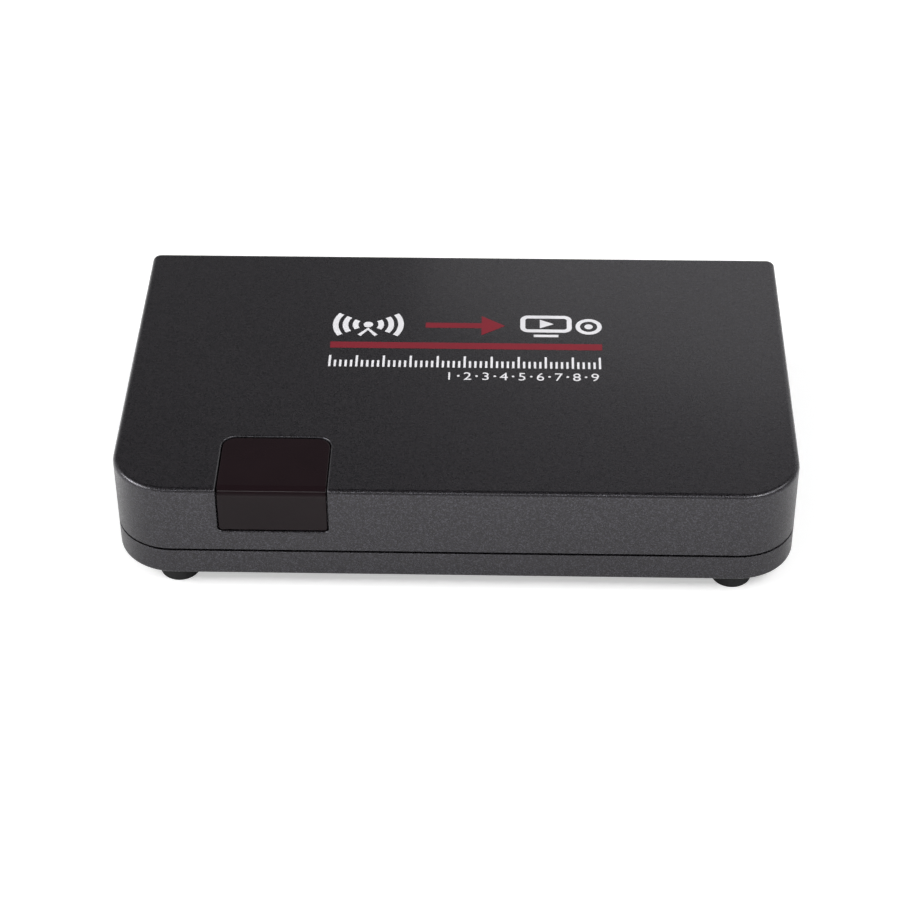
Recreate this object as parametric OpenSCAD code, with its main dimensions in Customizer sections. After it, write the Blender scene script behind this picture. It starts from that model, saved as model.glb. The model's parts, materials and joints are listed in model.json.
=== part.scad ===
// Set-top box that turns a cable or aerial signal into composite video and sound.
// Millimetres. +X is right seen from the front, -Y is the front, +Z is up.
// The origin is the middle of the footprint, on the surface that the feet stand on.

/* [Body] */
// Width of the body
body_w = 115; // [113:0.5:130]
// Depth of the body, from its front face to its rear edge
body_d = 69; // [66:0.5:80]
// Height of the cover above the parting line
cover_h = 13.2; // [12.6:0.1:16]
// Height of the base below the parting line
base_h = 5; // [4.8:0.1:6]
// Side wall thickness of cover and base
wall_t = 2.2; // [2.1:0.1:2.5]
// Thickness of the cover's top
roof_t = 2; // [1.8:0.1:2.4]
// Thickness of the base's floor
floor_t = 1.8; // [1.6:0.1:2.2]
// Plan radius of the two front corners
front_corner_r = 10; // [7:0.5:11]
// Plan radius of the two rear corners
rear_corner_r = 1.5; // [1.2:0.1:2]
// Rounding of the cover's top edge
top_edge_r = 0.9; // [0.5:0.1:1.1]
// Rounding of the base's lower edge
base_edge_r = 0.6; // [0.4:0.1:0.7]
// Height of the shadow line between cover and base
reveal_h = 0.45; // [0.3:0.05:0.7]
// Depth of the shadow line
reveal_depth = 0.6; // [0.4:0.05:0.7]
// Height of the base's lip inside the cover
lip_h = 1.2; // [0.8:0.1:1.6]
// Thickness of the base's lip
lip_t = 0.9; // [0.7:0.1:1]
// Room around the lip
lip_play = 0.1; // [0.05:0.05:0.2]

/* [Window] */
// Width of the dark receiver window
window_w = 18.2; // [15:0.1:20]
// How far the window reaches back over the top
window_reach = 14.4; // [12:0.1:16]
// How far the window reaches down the front
window_drop = 8.7; // [7.5:0.1:9.4]
// Distance of the window from the body's left side
window_inset = 18.2; // [17:0.1:20]
// Thickness of the window
window_t = 1.2; // [1:0.1:1.3]
// Depth of the window's face below the cover's surface
window_sink = 0.25; // [0.1:0.05:0.4]
// Radius of the window's rear corners
window_corner_r = 2.3; // [1.5:0.1:3]
// Radius of the window's lower corners
window_foot_r = 0.6; // [0.4:0.1:1]
// Outer radius of the bend from top to front
window_bend_r = 1.6; // [1.4:0.1:2]
// Room between the window and its recess
window_play = 0.15; // [0.1:0.05:0.25]
// Width of the ledge that the window lies on
ledge_w = 1.5; // [1:0.1:2]

/* [Feet and fixings] */
// Height of the feet below the base
foot_h = 3.2; // [2:0.1:4]
// Diameter of a foot at the base
foot_d = 8; // [6.5:0.1:8.4]
// Diameter of a foot at the floor
foot_tip_d = 6.8; // [5.5:0.1:7.4]
// Distance of a foot's middle from the side
foot_inset_x = 10.5; // [10:0.1:12]
// Distance of a foot's middle from the front or rear edge
foot_inset_y = 5; // [4.9:0.1:6.5]
// Depth of the seat that a foot is glued into
foot_seat = 0.4; // [0.2:0.1:0.5]
// Distance of a case screw from the side
boss_inset_x = 7.5; // [7.2:0.1:8]
// Distance of a case screw from the front or rear edge
boss_inset_y = 15; // [14:0.1:16]
// Diameter of a case screw's shank
screw_d = 2.6; // [2.2:0.1:2.8]
// Diameter of a case screw's head
screw_head_d = 4.8; // [4:0.1:5.2]
// Height of a case screw's head
screw_head_h = 1.9; // [1.4:0.1:2]
// Length of a case screw below its head
screw_l = 9; // [7:0.1:9.5]

/* [Rear panel] */
// Thickness of the rear panel
panel_t = 1.8; // [1.5:0.1:2.2]
// Depth of the panel's face inside the rear edge
panel_recess = 1.2; // [1:0.1:2]
// Depth of the grooves that hold the panel
groove_depth = 0.9; // [0.7:0.1:1]
// Room around the panel in its grooves
groove_play = 0.1; // [0.05:0.05:0.15]
// How far the phono sockets stand out behind the body
jack_reach = 5.6; // [5:0.1:8]
// How far the aerial socket stands out behind the body
port_reach = 4.8; // [4:0.1:5]
// Height of all socket axes above the circuit board
axis_h = 4.8; // [4.7:0.05:5]

/* [Circuit board] */
// Thickness of the circuit board
board_t = 1.2; // [1:0.1:1.6]
// Height of the board above the floor
standoff_h = 1.9; // [1.6:0.1:2.2]
// Room between the circuit board and the screw posts
board_gap = 0.6; // [0.4:0.1:1]

/* [Sockets] */
// Distance between two phono sockets
rca_pitch = 12.5; // [12:0.1:13.5]
// Outer diameter of a phono socket
rca_d = 8.3; // [8.2:0.05:8.4]
// Bore of a phono socket's middle contact
rca_contact_d = 3.24; // [3.2:0.02:3.3]
// Thread diameter of the aerial socket
port_d = 9.52; // [9.4:0.04:9.6]
// Bore of the aerial socket's middle contact
port_contact_d = 1; // [0.9:0.05:1.1]
// Diameter of the power socket's pin
dc_pin_d = 2; // [1.9:0.05:2.1]
// Bore of the power socket
dc_bore_d = 6.3; // [6.2:0.05:6.4]
// Width of the tuner's metal housing
tuner_w = 24; // [22:0.5:27]
// Depth of the tuner's metal housing
tuner_d = 36; // [32:0.5:38]

/* [Hidden] */

// Smoothness of round shapes, and how far a cut runs past the material
$fn = 64;
over = 1;
// Room between pieces that are glued, crimped or pressed together
seat_gap = 0.02;
// Chamfer on metal edges
edge_chamfer = 0.3;

// Heights
base_z = foot_h;
floor_z = base_z + floor_t;
part_z = base_z + base_h;
top_z = part_z + cover_h;
roof_z = top_z - roof_t;
board_z = floor_z + standoff_h;
deck_z = board_z + board_t;
axis_z = deck_z + axis_h;
headroom = roof_z - deck_z;

// Depths, with the body's middle at zero
front_y = -body_d / 2;
rear_y = body_d / 2;
panel_y = rear_y - panel_recess;
panel_front_y = panel_y - panel_t;
face_gap = 0.3;
face_y = panel_front_y - face_gap;
inner_w = body_w - 2 * wall_t;
window_x = -body_w / 2 + window_inset + window_w / 2;
panel_bite = groove_depth - groove_play;

// Screw posts and bosses
boss_x = body_w / 2 - boss_inset_x;
boss_y = body_d / 2 - boss_inset_y;
well_play = 0.6;
well_wall = 1.2;
well_r = screw_head_d / 2 + well_play;
post_r = well_r + well_wall;
web_t = 2;
boss_wall = 1.7;
screw_play = 0.03;
boss_r = screw_d / 2 + boss_wall;
bore_spare = 0.6;
hole_play = 0.2;
thread_pitch = 0.9;
thread_depth_share = 0.25;
slot_t = 0.7;
slot_span_share = 0.62;
slot_depth_share = 0.55;
head_edge_share = 0.3;

// Feet
foot_play = 0.15;
foot_edge = 0.35;

// Slots, label and standoffs of the base
vent_count = 5;
vent_w = 1.6;
vent_l = 20;
vent_pitch = 3.4;
vent_side_gap = 1.45;
vent_shift = 2;
label_w = 44;
label_d = 26;
label_recess = 0.25;
label_t = 0.15;
label_play = 0.3;
vent_x = label_w / 2 + vent_side_gap + ((vent_count - 1) * vent_pitch + vent_w) / 2;
standoff_r = 2.8;
board_screw_d = 1.9;
board_screw_head_d = 3.8;
board_screw_head_h = 1.2;
board_screw_bite = 2.6;
board_screw_spare = 0.1;
// Places of the board's screws: shares of the board's half width and half depth
standoff_shares = [[-0.91, -0.88], [0.91, -0.88], [-0.91, 0.38], [0.16, 0.42]];

// Circuit board
board_front_gap = 1.5;
board_rear_gap = 0.2;
board_w = 2 * (boss_x - post_r - board_gap);
board_front_y = front_y + wall_t + board_front_gap;
board_rear_y = face_y - board_rear_gap;
board_d = board_rear_y - board_front_y;
board_mid_y = (board_front_y + board_rear_y) / 2;

// Rear sockets, from left to right seen from the front
dc_w = 10;
dc_depth = 12.4;
rca_cell_w = 10;
rca_depth = 10;
rca_count = 3;
rca_row_w = (rca_count - 1) * rca_pitch + rca_cell_w;
socket_roof = 4.8;
socket_h = axis_h + socket_roof;
// The board's free width is shared out before, between and behind the sockets
free_w = board_w - dc_w - rca_row_w - tuner_w;
free_shares = [0.08, 0.3, 0.54, 0.08];
dc_x = -board_w / 2 + free_shares[0] * free_w + dc_w / 2;
rca_x = dc_x + dc_w / 2 + free_shares[1] * free_w + rca_cell_w / 2;
tuner_x = board_w / 2 - free_shares[3] * free_w - tuner_w / 2;
port_shift = 4;
port_x = tuner_x + port_shift;
hole_room = 0.3;

// Phono sockets
rca_r = rca_d / 2;
rca_neck_cut = 0.45;
rca_neck_r = rca_r - rca_neck_cut;
rca_wall = 0.3;
rca_seat_depth = 4;
rca_insert_sink = 0.5;
rca_contact_wall = 0.3;
rca_contact_sink = 1.5;
rca_contact_l = 9;
rca_slit = 0.3;
rca_slit_l = 5;
rca_mouth = 0.4;
rca_tab_w = 1.6;
rca_tab_t = 0.4;
step_gap = 0.25;
rca_tip_y = rear_y + jack_reach;
rca_bore_r = rca_neck_r - rca_wall;
rca_insert_y = rca_tip_y - rca_insert_sink;
rca_contact_y = rca_insert_y - rca_contact_sink;
rca_contact_r = rca_contact_d / 2 + rca_contact_wall;

// Aerial socket and tuner
port_r = port_d / 2;
port_neck_r = 4.2;
port_wall = 0.85;
port_insert_sink = 0.7;
port_contact_wall = 0.4;
port_contact_sink = 1;
port_contact_l = 6;
port_tip_y = rear_y + port_reach;
port_bore_r = port_neck_r - port_wall;
port_insert_y = port_tip_y - port_insert_sink;
port_contact_y = port_insert_y - port_contact_sink;
port_contact_r = port_contact_d / 2 + port_contact_wall;
tuner_play = 0.5;
sheet_t = 0.4;
lid_skirt = 2;
lid_play = 0.05;
tuner_h = headroom - tuner_play - sheet_t;
tuner_front_y = face_y - tuner_d;
trim_hole_r = 1.4;
trim_shares = [0.25, 0.5, 0.8];
tuner_board_t = 0.8;
tuner_board_share = 0.22;
coil_r = 2;
coil_h = 3;
coil_pitch = 5;
coil_margin = 1.5;
coil_count = floor((tuner_w - 2 * coil_margin) / coil_pitch);
coil_y_share = 0.6;
divider_share = 0.6;
divider_y = tuner_front_y + divider_share * tuner_d;
tuner_board_z = deck_z + tuner_board_share * tuner_h;
tuner_board_w = tuner_w - 2 * (sheet_t + lid_play);
tuner_pin_t = 0.5;
tuner_pin_pitch = 2.5;
tuner_pin_inset = 1.5;
tuner_pin_count = floor((tuner_w - 2 * tuner_pin_inset) / tuner_pin_pitch) + 1;

// Power socket
dc_nose_r = 4;
dc_nose_play = 0.2;
dc_bore_depth = 9.5;
dc_pin_sink = 1;
dc_root_r = 1.4;
dc_floor_y = panel_y - dc_bore_depth;
rivet_r = 1.6;
rivet_t = 0.4;
plug_r = 2.75;
leaf_t = 0.3;
leaf_w = 3;
leaf_setback = 0.6;
leaf_bite = 0.35;
leaf_root_from_back = 2;
leaf_run = 5;
leaf_rise = 1.5;
leaf_tail = 1;
leaf_eye_r = 0.5;
leaf_room = 0.2;
contact_gap = 0.06;
contact_t = 0.3;
contact_w = 0.8;
terminal_t = 0.4;
slot_play = 0.05;
dc_back_y = face_y - dc_depth;
leaf_x = -(dc_bore_d / 2 + leaf_setback);
leaf_root_y = dc_back_y + leaf_root_from_back;
leaf_peak_y = leaf_root_y + leaf_run + leaf_rise;
leaf_tip_y = leaf_peak_y + leaf_rise + leaf_tail;
terminal_y = leaf_root_y - leaf_eye_r - contact_gap - terminal_t;

// Chips: size of the body, pins and pitch
pin_t = 0.2;
pin_w = 0.35;
pin_out = 1.1;
pin_foot = 0.6;
chip_lift = 0.1;
decoder_size = 12;
decoder_h = 1.6;
decoder_pin_pitch = 0.95;
decoder_pin_count = 11;
decoder_shares = [-0.1, -0.22];
controller_w = 16;
controller_d = 7.5;
controller_h = 2.3;
controller_pin_pitch = 1.27;
controller_pin_count = 12;
controller_shares = [-0.56, 0.1];
memory_w = 5;
memory_d = 4;
memory_h = 1.5;
memory_pin_pitch = 1.27;
memory_pin_count = 4;
memory_shares = [-0.87, -0.02];

// Other parts on the board
regulator_w = 6.5;
regulator_d = 6;
regulator_h = 2.3;
regulator_tab_w = 5.4;
regulator_tab_d = 1.6;
regulator_tab_t = 0.5;
regulator_shares = [-0.7, -0.6];
crystal_l = 10.6;
crystal_w = 4.4;
crystal_h = 3.6;
crystal_flange = 0.4;
crystal_flange_h = 0.4;
crystal_shares = [[0.2, -0.5], [-0.48, -0.36]];
saw_w = 12.6;
saw_d = 3.6;
saw_h = 7.5;
saw_shares = [0.28, -0.72];
cap_r = 2.5;
cap_h = 7.2;
cap_sleeve_t = 0.15;
cap_lip = 0.5;
cap_dimple = 0.2;
cap_foot_h = 0.4;
cap_brim_z = cap_h + seat_gap;
cap_shares = [[-0.55, 0.48], [-0.37, 0.48], [-0.19, 0.48], [0.14, 0.12], [0.6, -0.8], [-0.08, -0.74]];
choke_r = 3.8;
choke_h = 5;
choke_flange = 0.8;
choke_waist = 1.1;
choke_shares = [-0.78, -0.28];
chip_part_l = 1.6;
chip_part_w = 0.8;
resistor_t = 0.45;
ceramic_t = 0.8;
// Rows of small parts: start share in X, share in Y, number in the row
resistor_shares = [[-0.34, -0.56, 4], [0.12, -0.12, 3], [-0.62, -0.2, 3], [0.4, -0.5, 5], [-0.66, 0.34, 4]];
ceramic_shares = [[-0.3, 0.14, 4], [0.4, -0.62, 4], [-0.28, -0.88, 5], [0.12, -0.28, 3], [-0.3, 0.26, 4]];
chip_part_pitch = 2.6;

// Receiver and lamp behind the window
ir_w = 6;
ir_d = 4.6;
ir_h = 6.2;
ir_lens_r = 2.2;
ir_lens_out = 1.3;
ir_lift = 4.5;
ir_setback = 4;
lead_w = 0.5;
lead_t = 0.4;
ir_lead_pitch = 2;
ir_shift = -2.5;
led_r = 1.5;
led_h = 3.2;
led_flange = 0.35;
led_flange_h = 0.8;
led_shift = 4.5;
led_setback = 8;
led_lead_pitch = 1.3;
led_lift = 4;
ir_x = window_x + ir_shift;
ir_y = front_y + wall_t + ir_setback;
led_x = window_x + led_shift;
led_y = front_y + wall_t + led_setback;

// Moves the body's middle so that the whole footprint, sockets included, is centred
module placed()
    translate([0, -jack_reach / 2, 0])
        children();

// Plan outline: rf is the radius of the front corners, rr that of the rear ones
module plan_outline(w, d, rf, rr) {
    translate([-w / 2, -d / 2 + rf])
        square([w, d - rf - rr]);
    translate([-w / 2 + rf, -d / 2])
        square([w - 2 * rf, 2 * rf]);
    translate([-w / 2 + rr, d / 2 - 2 * rr])
        square([w - 2 * rr, 2 * rr]);
    for (side = [-1, 1]) {
        translate([side * (w / 2 - rf), -d / 2 + rf])
            circle(rf);
        translate([side * (w / 2 - rr), d / 2 - rr])
            circle(rr);
    }
}

// Plan outline taken in by inset
module inset_outline(inset)
    plan_outline(body_w - 2 * inset, body_d - 2 * inset, front_corner_r - inset, rear_corner_r - inset);

// Inside of the walls, open to the rear
module cavity_outline(inset, rear) {
    half_w = body_w / 2 - inset;
    r = front_corner_r - inset;
    translate([-half_w, front_y + front_corner_r])
        square([2 * half_w, rear - front_y - front_corner_r]);
    translate([-half_w + r, front_y + inset])
        square([2 * (half_w - r), 2 * r]);
    for (side = [-1, 1])
        translate([side * (half_w - r), front_y + front_corner_r])
            circle(r);
}

// Half section of a disc whose upper edge is rounded by er
module rounded_rim(r, h, er) {
    square([r, h - er]);
    square([r - er, h]);
    translate([r - er, h - er])
        intersection() {
            circle(er);
            square(er);
        }
}

// Section w wide and h high whose two upper corners are rounded by er
module rounded_section(w, h, er)
    for (side = [0, 1])
        mirror([side, 0])
            rounded_rim(w / 2, h, er);

// Block with the body's plan and a rounded upper edge
module rounded_block(h, er) {
    side_l = body_d - front_corner_r - rear_corner_r;
    translate([0, front_y + front_corner_r + side_l, 0])
        rotate([90, 0, 0])
            linear_extrude(side_l)
                rounded_section(body_w, h, er);
    for (half = [[front_corner_r, 1], [rear_corner_r, 0]])
        translate([-body_w / 2 + half[0], 0, 0])
            rotate([90, 0, 90])
                linear_extrude(body_w - 2 * half[0])
                    mirror([half[1], 0])
                        rounded_rim(body_d / 2, h, er);
    for (side = [-1, 1]) {
        translate([side * (body_w / 2 - front_corner_r), front_y + front_corner_r, 0])
            rotate_extrude()
                rounded_rim(front_corner_r, h, er);
        translate([side * (body_w / 2 - rear_corner_r), rear_y - rear_corner_r, 0])
            rotate_extrude()
                rounded_rim(rear_corner_r, h, er);
    }
}

// Groove for the rear panel, from low to high
module panel_groove(low, high)
    translate([-inner_w / 2 - groove_depth, panel_front_y - groove_play, low])
        cube([inner_w + 2 * groove_depth, panel_t + 2 * groove_play, high - low]);

// Places of the four case screws and of the four feet
module at_bosses()
    for (x = [-boss_x, boss_x], y = [-boss_y, boss_y])
        translate([x, y, 0])
            children();

module at_feet()
    for (x = [-1, 1], y = [-1, 1])
        translate([x * (body_w / 2 - foot_inset_x), y * (body_d / 2 - foot_inset_y), 0])
            children();

// Places on the board, as shares of its half width and half depth
module on_board(shares)
    translate([shares[0] * board_w / 2, board_mid_y + shares[1] * board_d / 2, deck_z])
        children();

// Side view of the window: outer and inner are the depths of its two faces
module window_profile(outer, inner, bend, inner_bend, reach, drop)
    difference() {
        bent_corner(front_y + outer, top_z - outer, bend, reach, drop);
        bent_corner(front_y + inner, top_z - inner, inner_bend, reach + over, drop + over);
    }

// Quarter plane behind and below a rounded corner at y, z
module bent_corner(y, z, bend, reach, drop) {
    right = front_y + reach;
    low = top_z - drop;
    translate([y, low])
        square([right - y, z - bend - low]);
    translate([y + bend, low])
        square([right - y - bend, z - low]);
    translate([y + bend, z - bend])
        circle(bend);
}

// Window shape: grow widens every side, outer and inner are depths below the surface,
// rear_r and low_r are the radii of its rear and lower corners
module window_shape(grow, outer, inner, bend, inner_bend, rear_r, low_r) {
    half_w = window_w / 2 + grow;
    reach = window_reach + grow;
    drop = window_drop + grow;
    intersection() {
        translate([window_x - half_w, 0, 0])
            rotate([90, 0, 90])
                linear_extrude(2 * half_w)
                    window_profile(outer, inner, bend, inner_bend, reach, drop);
        translate([window_x, 0, top_z - drop - over])
            linear_extrude(drop + 3 * over)
                window_plan(half_w, reach, rear_r);
        translate([window_x, front_y + reach + over, 0])
            rotate([90, 0, 0])
                linear_extrude(reach + 3 * over)
                    window_front(half_w, drop, low_r);
    }
}

module window_plan(half_w, reach, r) {
    translate([-half_w, front_y - 2 * over])
        square([2 * half_w, reach + 2 * over - r]);
    translate([-half_w + r, front_y - 2 * over])
        square([2 * (half_w - r), reach + 2 * over]);
    for (side = [-1, 1])
        translate([side * (half_w - r), front_y + reach - r])
            circle(r);
}

module window_front(half_w, drop, r) {
    translate([-half_w, top_z - drop + r])
        square([2 * half_w, drop + 2 * over - r]);
    translate([-half_w + r, top_z - drop])
        square([2 * (half_w - r), drop + 2 * over]);
    for (side = [-1, 1])
        translate([side * (half_w - r), top_z - drop + r])
            circle(r);
}

// Recess for the window, and the opening through the cover behind it
module window_cut() {
    ledge_depth = window_sink + window_t + seat_gap;
    ledge_bend = window_bend_r - window_t - seat_gap;
    window_shape(window_play, -over, ledge_depth, over, ledge_bend,
        window_corner_r + window_play, window_foot_r + window_play);
    window_shape(-ledge_w, -over, roof_t + wall_t + over, over, over, window_foot_r, window_foot_r);
}

module top_cover()
    placed() color([0.20, 0.20, 0.21])
        difference() {
            union() {
                difference() {
                    translate([0, 0, part_z])
                        rounded_block(cover_h, top_edge_r);
                    translate([0, 0, part_z - over])
                        linear_extrude(cover_h - roof_t + over)
                            cavity_outline(wall_t, rear_y + over);
                    translate([0, 0, part_z - over])
                        linear_extrude(lip_h + lip_play + over)
                            cavity_outline(wall_t - lip_t - lip_play, panel_front_y - groove_play);
                    translate([0, 0, part_z - over])
                        linear_extrude(reveal_h + over)
                            difference() {
                                square([body_w + over, body_d + over], center = true);
                                inset_outline(reveal_depth);
                            }
                    panel_groove(part_z - over, roof_z + groove_depth);
                }
                at_bosses()
                    translate([0, 0, part_z])
                        cylinder(r = boss_r, h = roof_z - part_z + seat_gap);
            }
            at_bosses()
                translate([0, 0, part_z - over])
                    cylinder(r = screw_d / 2 + screw_play, h = screw_l - web_t + bore_spare + over);
            window_cut();
        }

module bottom_cover()
    placed() color([0.20, 0.20, 0.21])
        difference() {
            union() {
                difference() {
                    translate([0, 0, part_z])
                        mirror([0, 0, 1])
                            rounded_block(base_h, base_edge_r);
                    translate([0, 0, floor_z])
                        linear_extrude(base_h)
                            cavity_outline(wall_t, rear_y + over);
                }
                translate([0, 0, part_z - lip_t])
                    linear_extrude(lip_h + lip_t)
                        difference() {
                            cavity_outline(wall_t - lip_t, panel_front_y - groove_play - lip_play);
                            cavity_outline(wall_t, rear_y + over);
                        }
                at_bosses()
                    translate([0, 0, floor_z - seat_gap])
                        cylinder(r = post_r, h = part_z - floor_z + seat_gap);
                for (place = standoff_shares)
                    on_board(place)
                        translate([0, 0, floor_z - deck_z - seat_gap])
                            cylinder(r = standoff_r, h = standoff_h + seat_gap);
            }
            at_bosses() {
                translate([0, 0, base_z - over])
                    cylinder(r = well_r, h = base_h - web_t + over);
                translate([0, 0, base_z])
                    cylinder(r = screw_d / 2 + hole_play, h = base_h + over);
            }
            for (place = standoff_shares)
                on_board(place)
                    translate([0, 0, -board_t - board_screw_bite - board_screw_spare])
                        cylinder(r = board_screw_d / 2 + screw_play, h = base_h);
            at_feet()
                translate([0, 0, base_z - over])
                    cylinder(r = foot_d / 2 + foot_play, h = foot_seat + over);
            panel_groove(floor_z - groove_depth, part_z + lip_h + over);
            vents();
            translate([-label_w / 2 - label_play, -label_d / 2 - label_play, base_z - over])
                cube([label_w + 2 * label_play, label_d + 2 * label_play, label_recess + over]);
        }

// Two groups of slots with round ends through the floor
module vents()
    for (side = [-1, 1], i = [0 : vent_count - 1])
        translate([side * vent_x + (i - (vent_count - 1) / 2) * vent_pitch, -vent_shift, base_z - over])
            linear_extrude(floor_t + 2 * over) {
                square([vent_w, vent_l - vent_w], center = true);
                for (end = [-1, 1])
                    translate([0, end * (vent_l - vent_w) / 2])
                        circle(vent_w / 2);
            }

module base_label()
    placed() color([0.75, 0.76, 0.77])
        translate([-label_w / 2, -label_d / 2, base_z + label_recess - label_t])
            cube([label_w, label_d, label_t]);

module rear_panel()
    placed() color([0.07, 0.07, 0.075])
        difference() {
            translate([-inner_w / 2 - panel_bite, panel_front_y, floor_z - panel_bite])
                cube([inner_w + 2 * panel_bite, panel_t, roof_z - floor_z + 2 * panel_bite]);
            for (i = [0 : rca_count - 1])
                panel_hole(rca_x + i * rca_pitch, rca_r + hole_room);
            panel_hole(port_x, port_r + hole_room);
            panel_hole(dc_x, dc_nose_r + dc_nose_play);
        }

module panel_hole(x, r)
    translate([x, panel_front_y - over, axis_z])
        rotate([-90, 0, 0])
            cylinder(r = r, h = panel_t + 2 * over);

module ir_window()
    placed() color([0.13, 0.08, 0.09])
        window_shape(0, window_sink, window_sink + window_t, window_bend_r, window_bend_r - window_t,
            window_corner_r, window_foot_r);

module rubber_feet()
    placed() color([0.09, 0.09, 0.09])
        at_feet()
            rotate_extrude()
                polygon([[0, 0], [foot_tip_d / 2 - foot_edge, 0], [foot_tip_d / 2, foot_edge],
                    [foot_d / 2, foot_h - foot_edge], [foot_d / 2, foot_h + foot_seat],
                    [0, foot_h + foot_seat]]);

// Screw pointing up: its head below zero, its shank above, threaded beyond the web
module screw(d, l, head_d, head_h, web) {
    rings = floor((l - web) / thread_pitch) - 1;
    root = d / 2 * (1 - thread_depth_share);
    edge = head_h * head_edge_share;
    tip = l - web - rings * thread_pitch;
    difference() {
        rotate_extrude()
            polygon(concat(
                [[0, -head_h], [head_d / 2 - edge, -head_h], [head_d / 2, edge - head_h], [head_d / 2, 0],
                    [d / 2, 0], [d / 2, web / 2], [root, web]],
                [for (i = [0 : 2 * rings - 1])
                    [i % 2 == 0 ? d / 2 : root, web + (i + 1) * thread_pitch / 2]],
                [[root, l - tip / 2], [0, l]]));
        for (turn = [0, 90])
            rotate([0, 0, turn])
                translate([0, 0, -head_h + (head_h * slot_depth_share - over) / 2])
                    cube([head_d * slot_span_share, slot_t * head_d / screw_head_d,
                        head_h * slot_depth_share + over], center = true);
    }
}

module case_screws()
    placed() color([0.16, 0.16, 0.17])
        at_bosses()
            translate([0, 0, part_z - web_t])
                screw(screw_d, screw_l, screw_head_d, screw_head_h, web_t);

module main_board()
    placed() color([0.06, 0.30, 0.14])
        difference() {
            translate([-board_w / 2, board_front_y, board_z])
                cube([board_w, board_d, board_t]);
            for (place = standoff_shares)
                on_board(place)
                    translate([0, 0, -board_t - over])
                        cylinder(r = board_screw_d / 2 + hole_play, h = board_t + 2 * over);
        }

module board_screws()
    placed() color([0.75, 0.75, 0.76])
        for (place = standoff_shares)
            on_board(place)
                mirror([0, 0, 1])
                    screw(board_screw_d, board_t + board_screw_bite, board_screw_head_d,
                        board_screw_head_h, board_t);

// Metal walls of the tuner, with a divider across it
module tuner_frame()
    placed() color([0.72, 0.72, 0.70])
        difference() {
            translate([tuner_x - tuner_w / 2, tuner_front_y, deck_z])
                cube([tuner_w, tuner_d, tuner_h]);
            translate([tuner_x - tuner_w / 2 + sheet_t, tuner_front_y + sheet_t, deck_z - over])
                cube([tuner_w - 2 * sheet_t, divider_y - tuner_front_y - sheet_t, tuner_h + 2 * over]);
            translate([tuner_x - tuner_w / 2 + sheet_t, divider_y + sheet_t, deck_z - over])
                cube([tuner_w - 2 * sheet_t, face_y - divider_y - 2 * sheet_t, tuner_h + 2 * over]);
            translate([port_x, face_y - 2 * sheet_t, axis_z])
                rotate([-90, 0, 0])
                    cylinder(r = port_neck_r + seat_gap, h = sheet_t + over);
        }

module tuner_lid()
    placed() color([0.78, 0.78, 0.76])
        difference() {
            translate([tuner_x - tuner_w / 2 - lid_play - sheet_t, tuner_front_y - lid_play - sheet_t,
                deck_z + tuner_h - lid_skirt])
                cube([tuner_w + 2 * (lid_play + sheet_t), tuner_d + lid_play + sheet_t, lid_skirt + sheet_t]);
            translate([tuner_x - tuner_w / 2 - lid_play, tuner_front_y - lid_play,
                deck_z + tuner_h - lid_skirt - over])
                cube([tuner_w + 2 * lid_play, tuner_d + lid_play + over, lid_skirt + over]);
            for (share = trim_shares)
                translate([tuner_x, tuner_front_y + share * tuner_d, deck_z + tuner_h - over])
                    cylinder(r = trim_hole_r, h = sheet_t + 2 * over);
        }

// Small board that stands on the tuner's pins, in the front chamber
module tuner_board()
    placed() color([0.55, 0.42, 0.20])
        translate([tuner_x - tuner_board_w / 2, tuner_front_y + sheet_t + lid_play, tuner_board_z])
            cube([tuner_board_w, divider_y - tuner_front_y - sheet_t - 2 * lid_play, tuner_board_t]);

// Row of pins between the tuner's board and the main board
module tuner_pins()
    placed() color([0.80, 0.80, 0.80])
        for (i = [0 : tuner_pin_count - 1])
            translate([tuner_x + (i - (tuner_pin_count - 1) / 2) * tuner_pin_pitch - tuner_pin_t / 2,
                tuner_front_y + sheet_t + tuner_pin_inset, deck_z])
                cube([tuner_pin_t, tuner_pin_t, tuner_board_z - deck_z]);

module tuner_coils()
    placed() color([0.72, 0.42, 0.20])
        for (i = [0 : coil_count - 1])
            translate([tuner_x + (i - (coil_count - 1) / 2) * coil_pitch,
                tuner_front_y + coil_y_share * (divider_y - tuner_front_y), tuner_board_z + tuner_board_t])
                difference() {
                    cylinder(r = coil_r, h = coil_h);
                    translate([0, 0, -over])
                        cylinder(r = coil_r / 2, h = coil_h + 2 * over);
                }

// Turned part along +Y on a socket axis: points are [radius, y]
module turned_y(x, points)
    translate([x, 0, axis_z])
        rotate([-90, 0, 0])
            rotate_extrude()
                polygon(points);

module rf_port()
    placed() color([0.78, 0.72, 0.58])
        turned_y(port_x, [[port_bore_r, face_y - sheet_t], [port_neck_r, face_y - sheet_t],
            [port_neck_r, panel_y + step_gap], [port_r, panel_y + step_gap],
            [port_r, port_tip_y - edge_chamfer], [port_r - edge_chamfer, port_tip_y],
            [port_bore_r, port_tip_y]]);

module rf_insulator()
    placed() color([0.90, 0.89, 0.84])
        turned_y(port_x, [[port_contact_r + seat_gap, face_y], [port_bore_r - seat_gap, face_y],
            [port_bore_r - seat_gap, port_insert_y], [port_contact_r + seat_gap, port_insert_y]]);

module rf_contact()
    placed() color([0.80, 0.62, 0.25])
        turned_y(port_x, [[port_contact_d / 2, port_contact_y - port_contact_l],
            [port_contact_r, port_contact_y - port_contact_l], [port_contact_r, port_contact_y],
            [port_contact_d / 2, port_contact_y]]);

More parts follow.
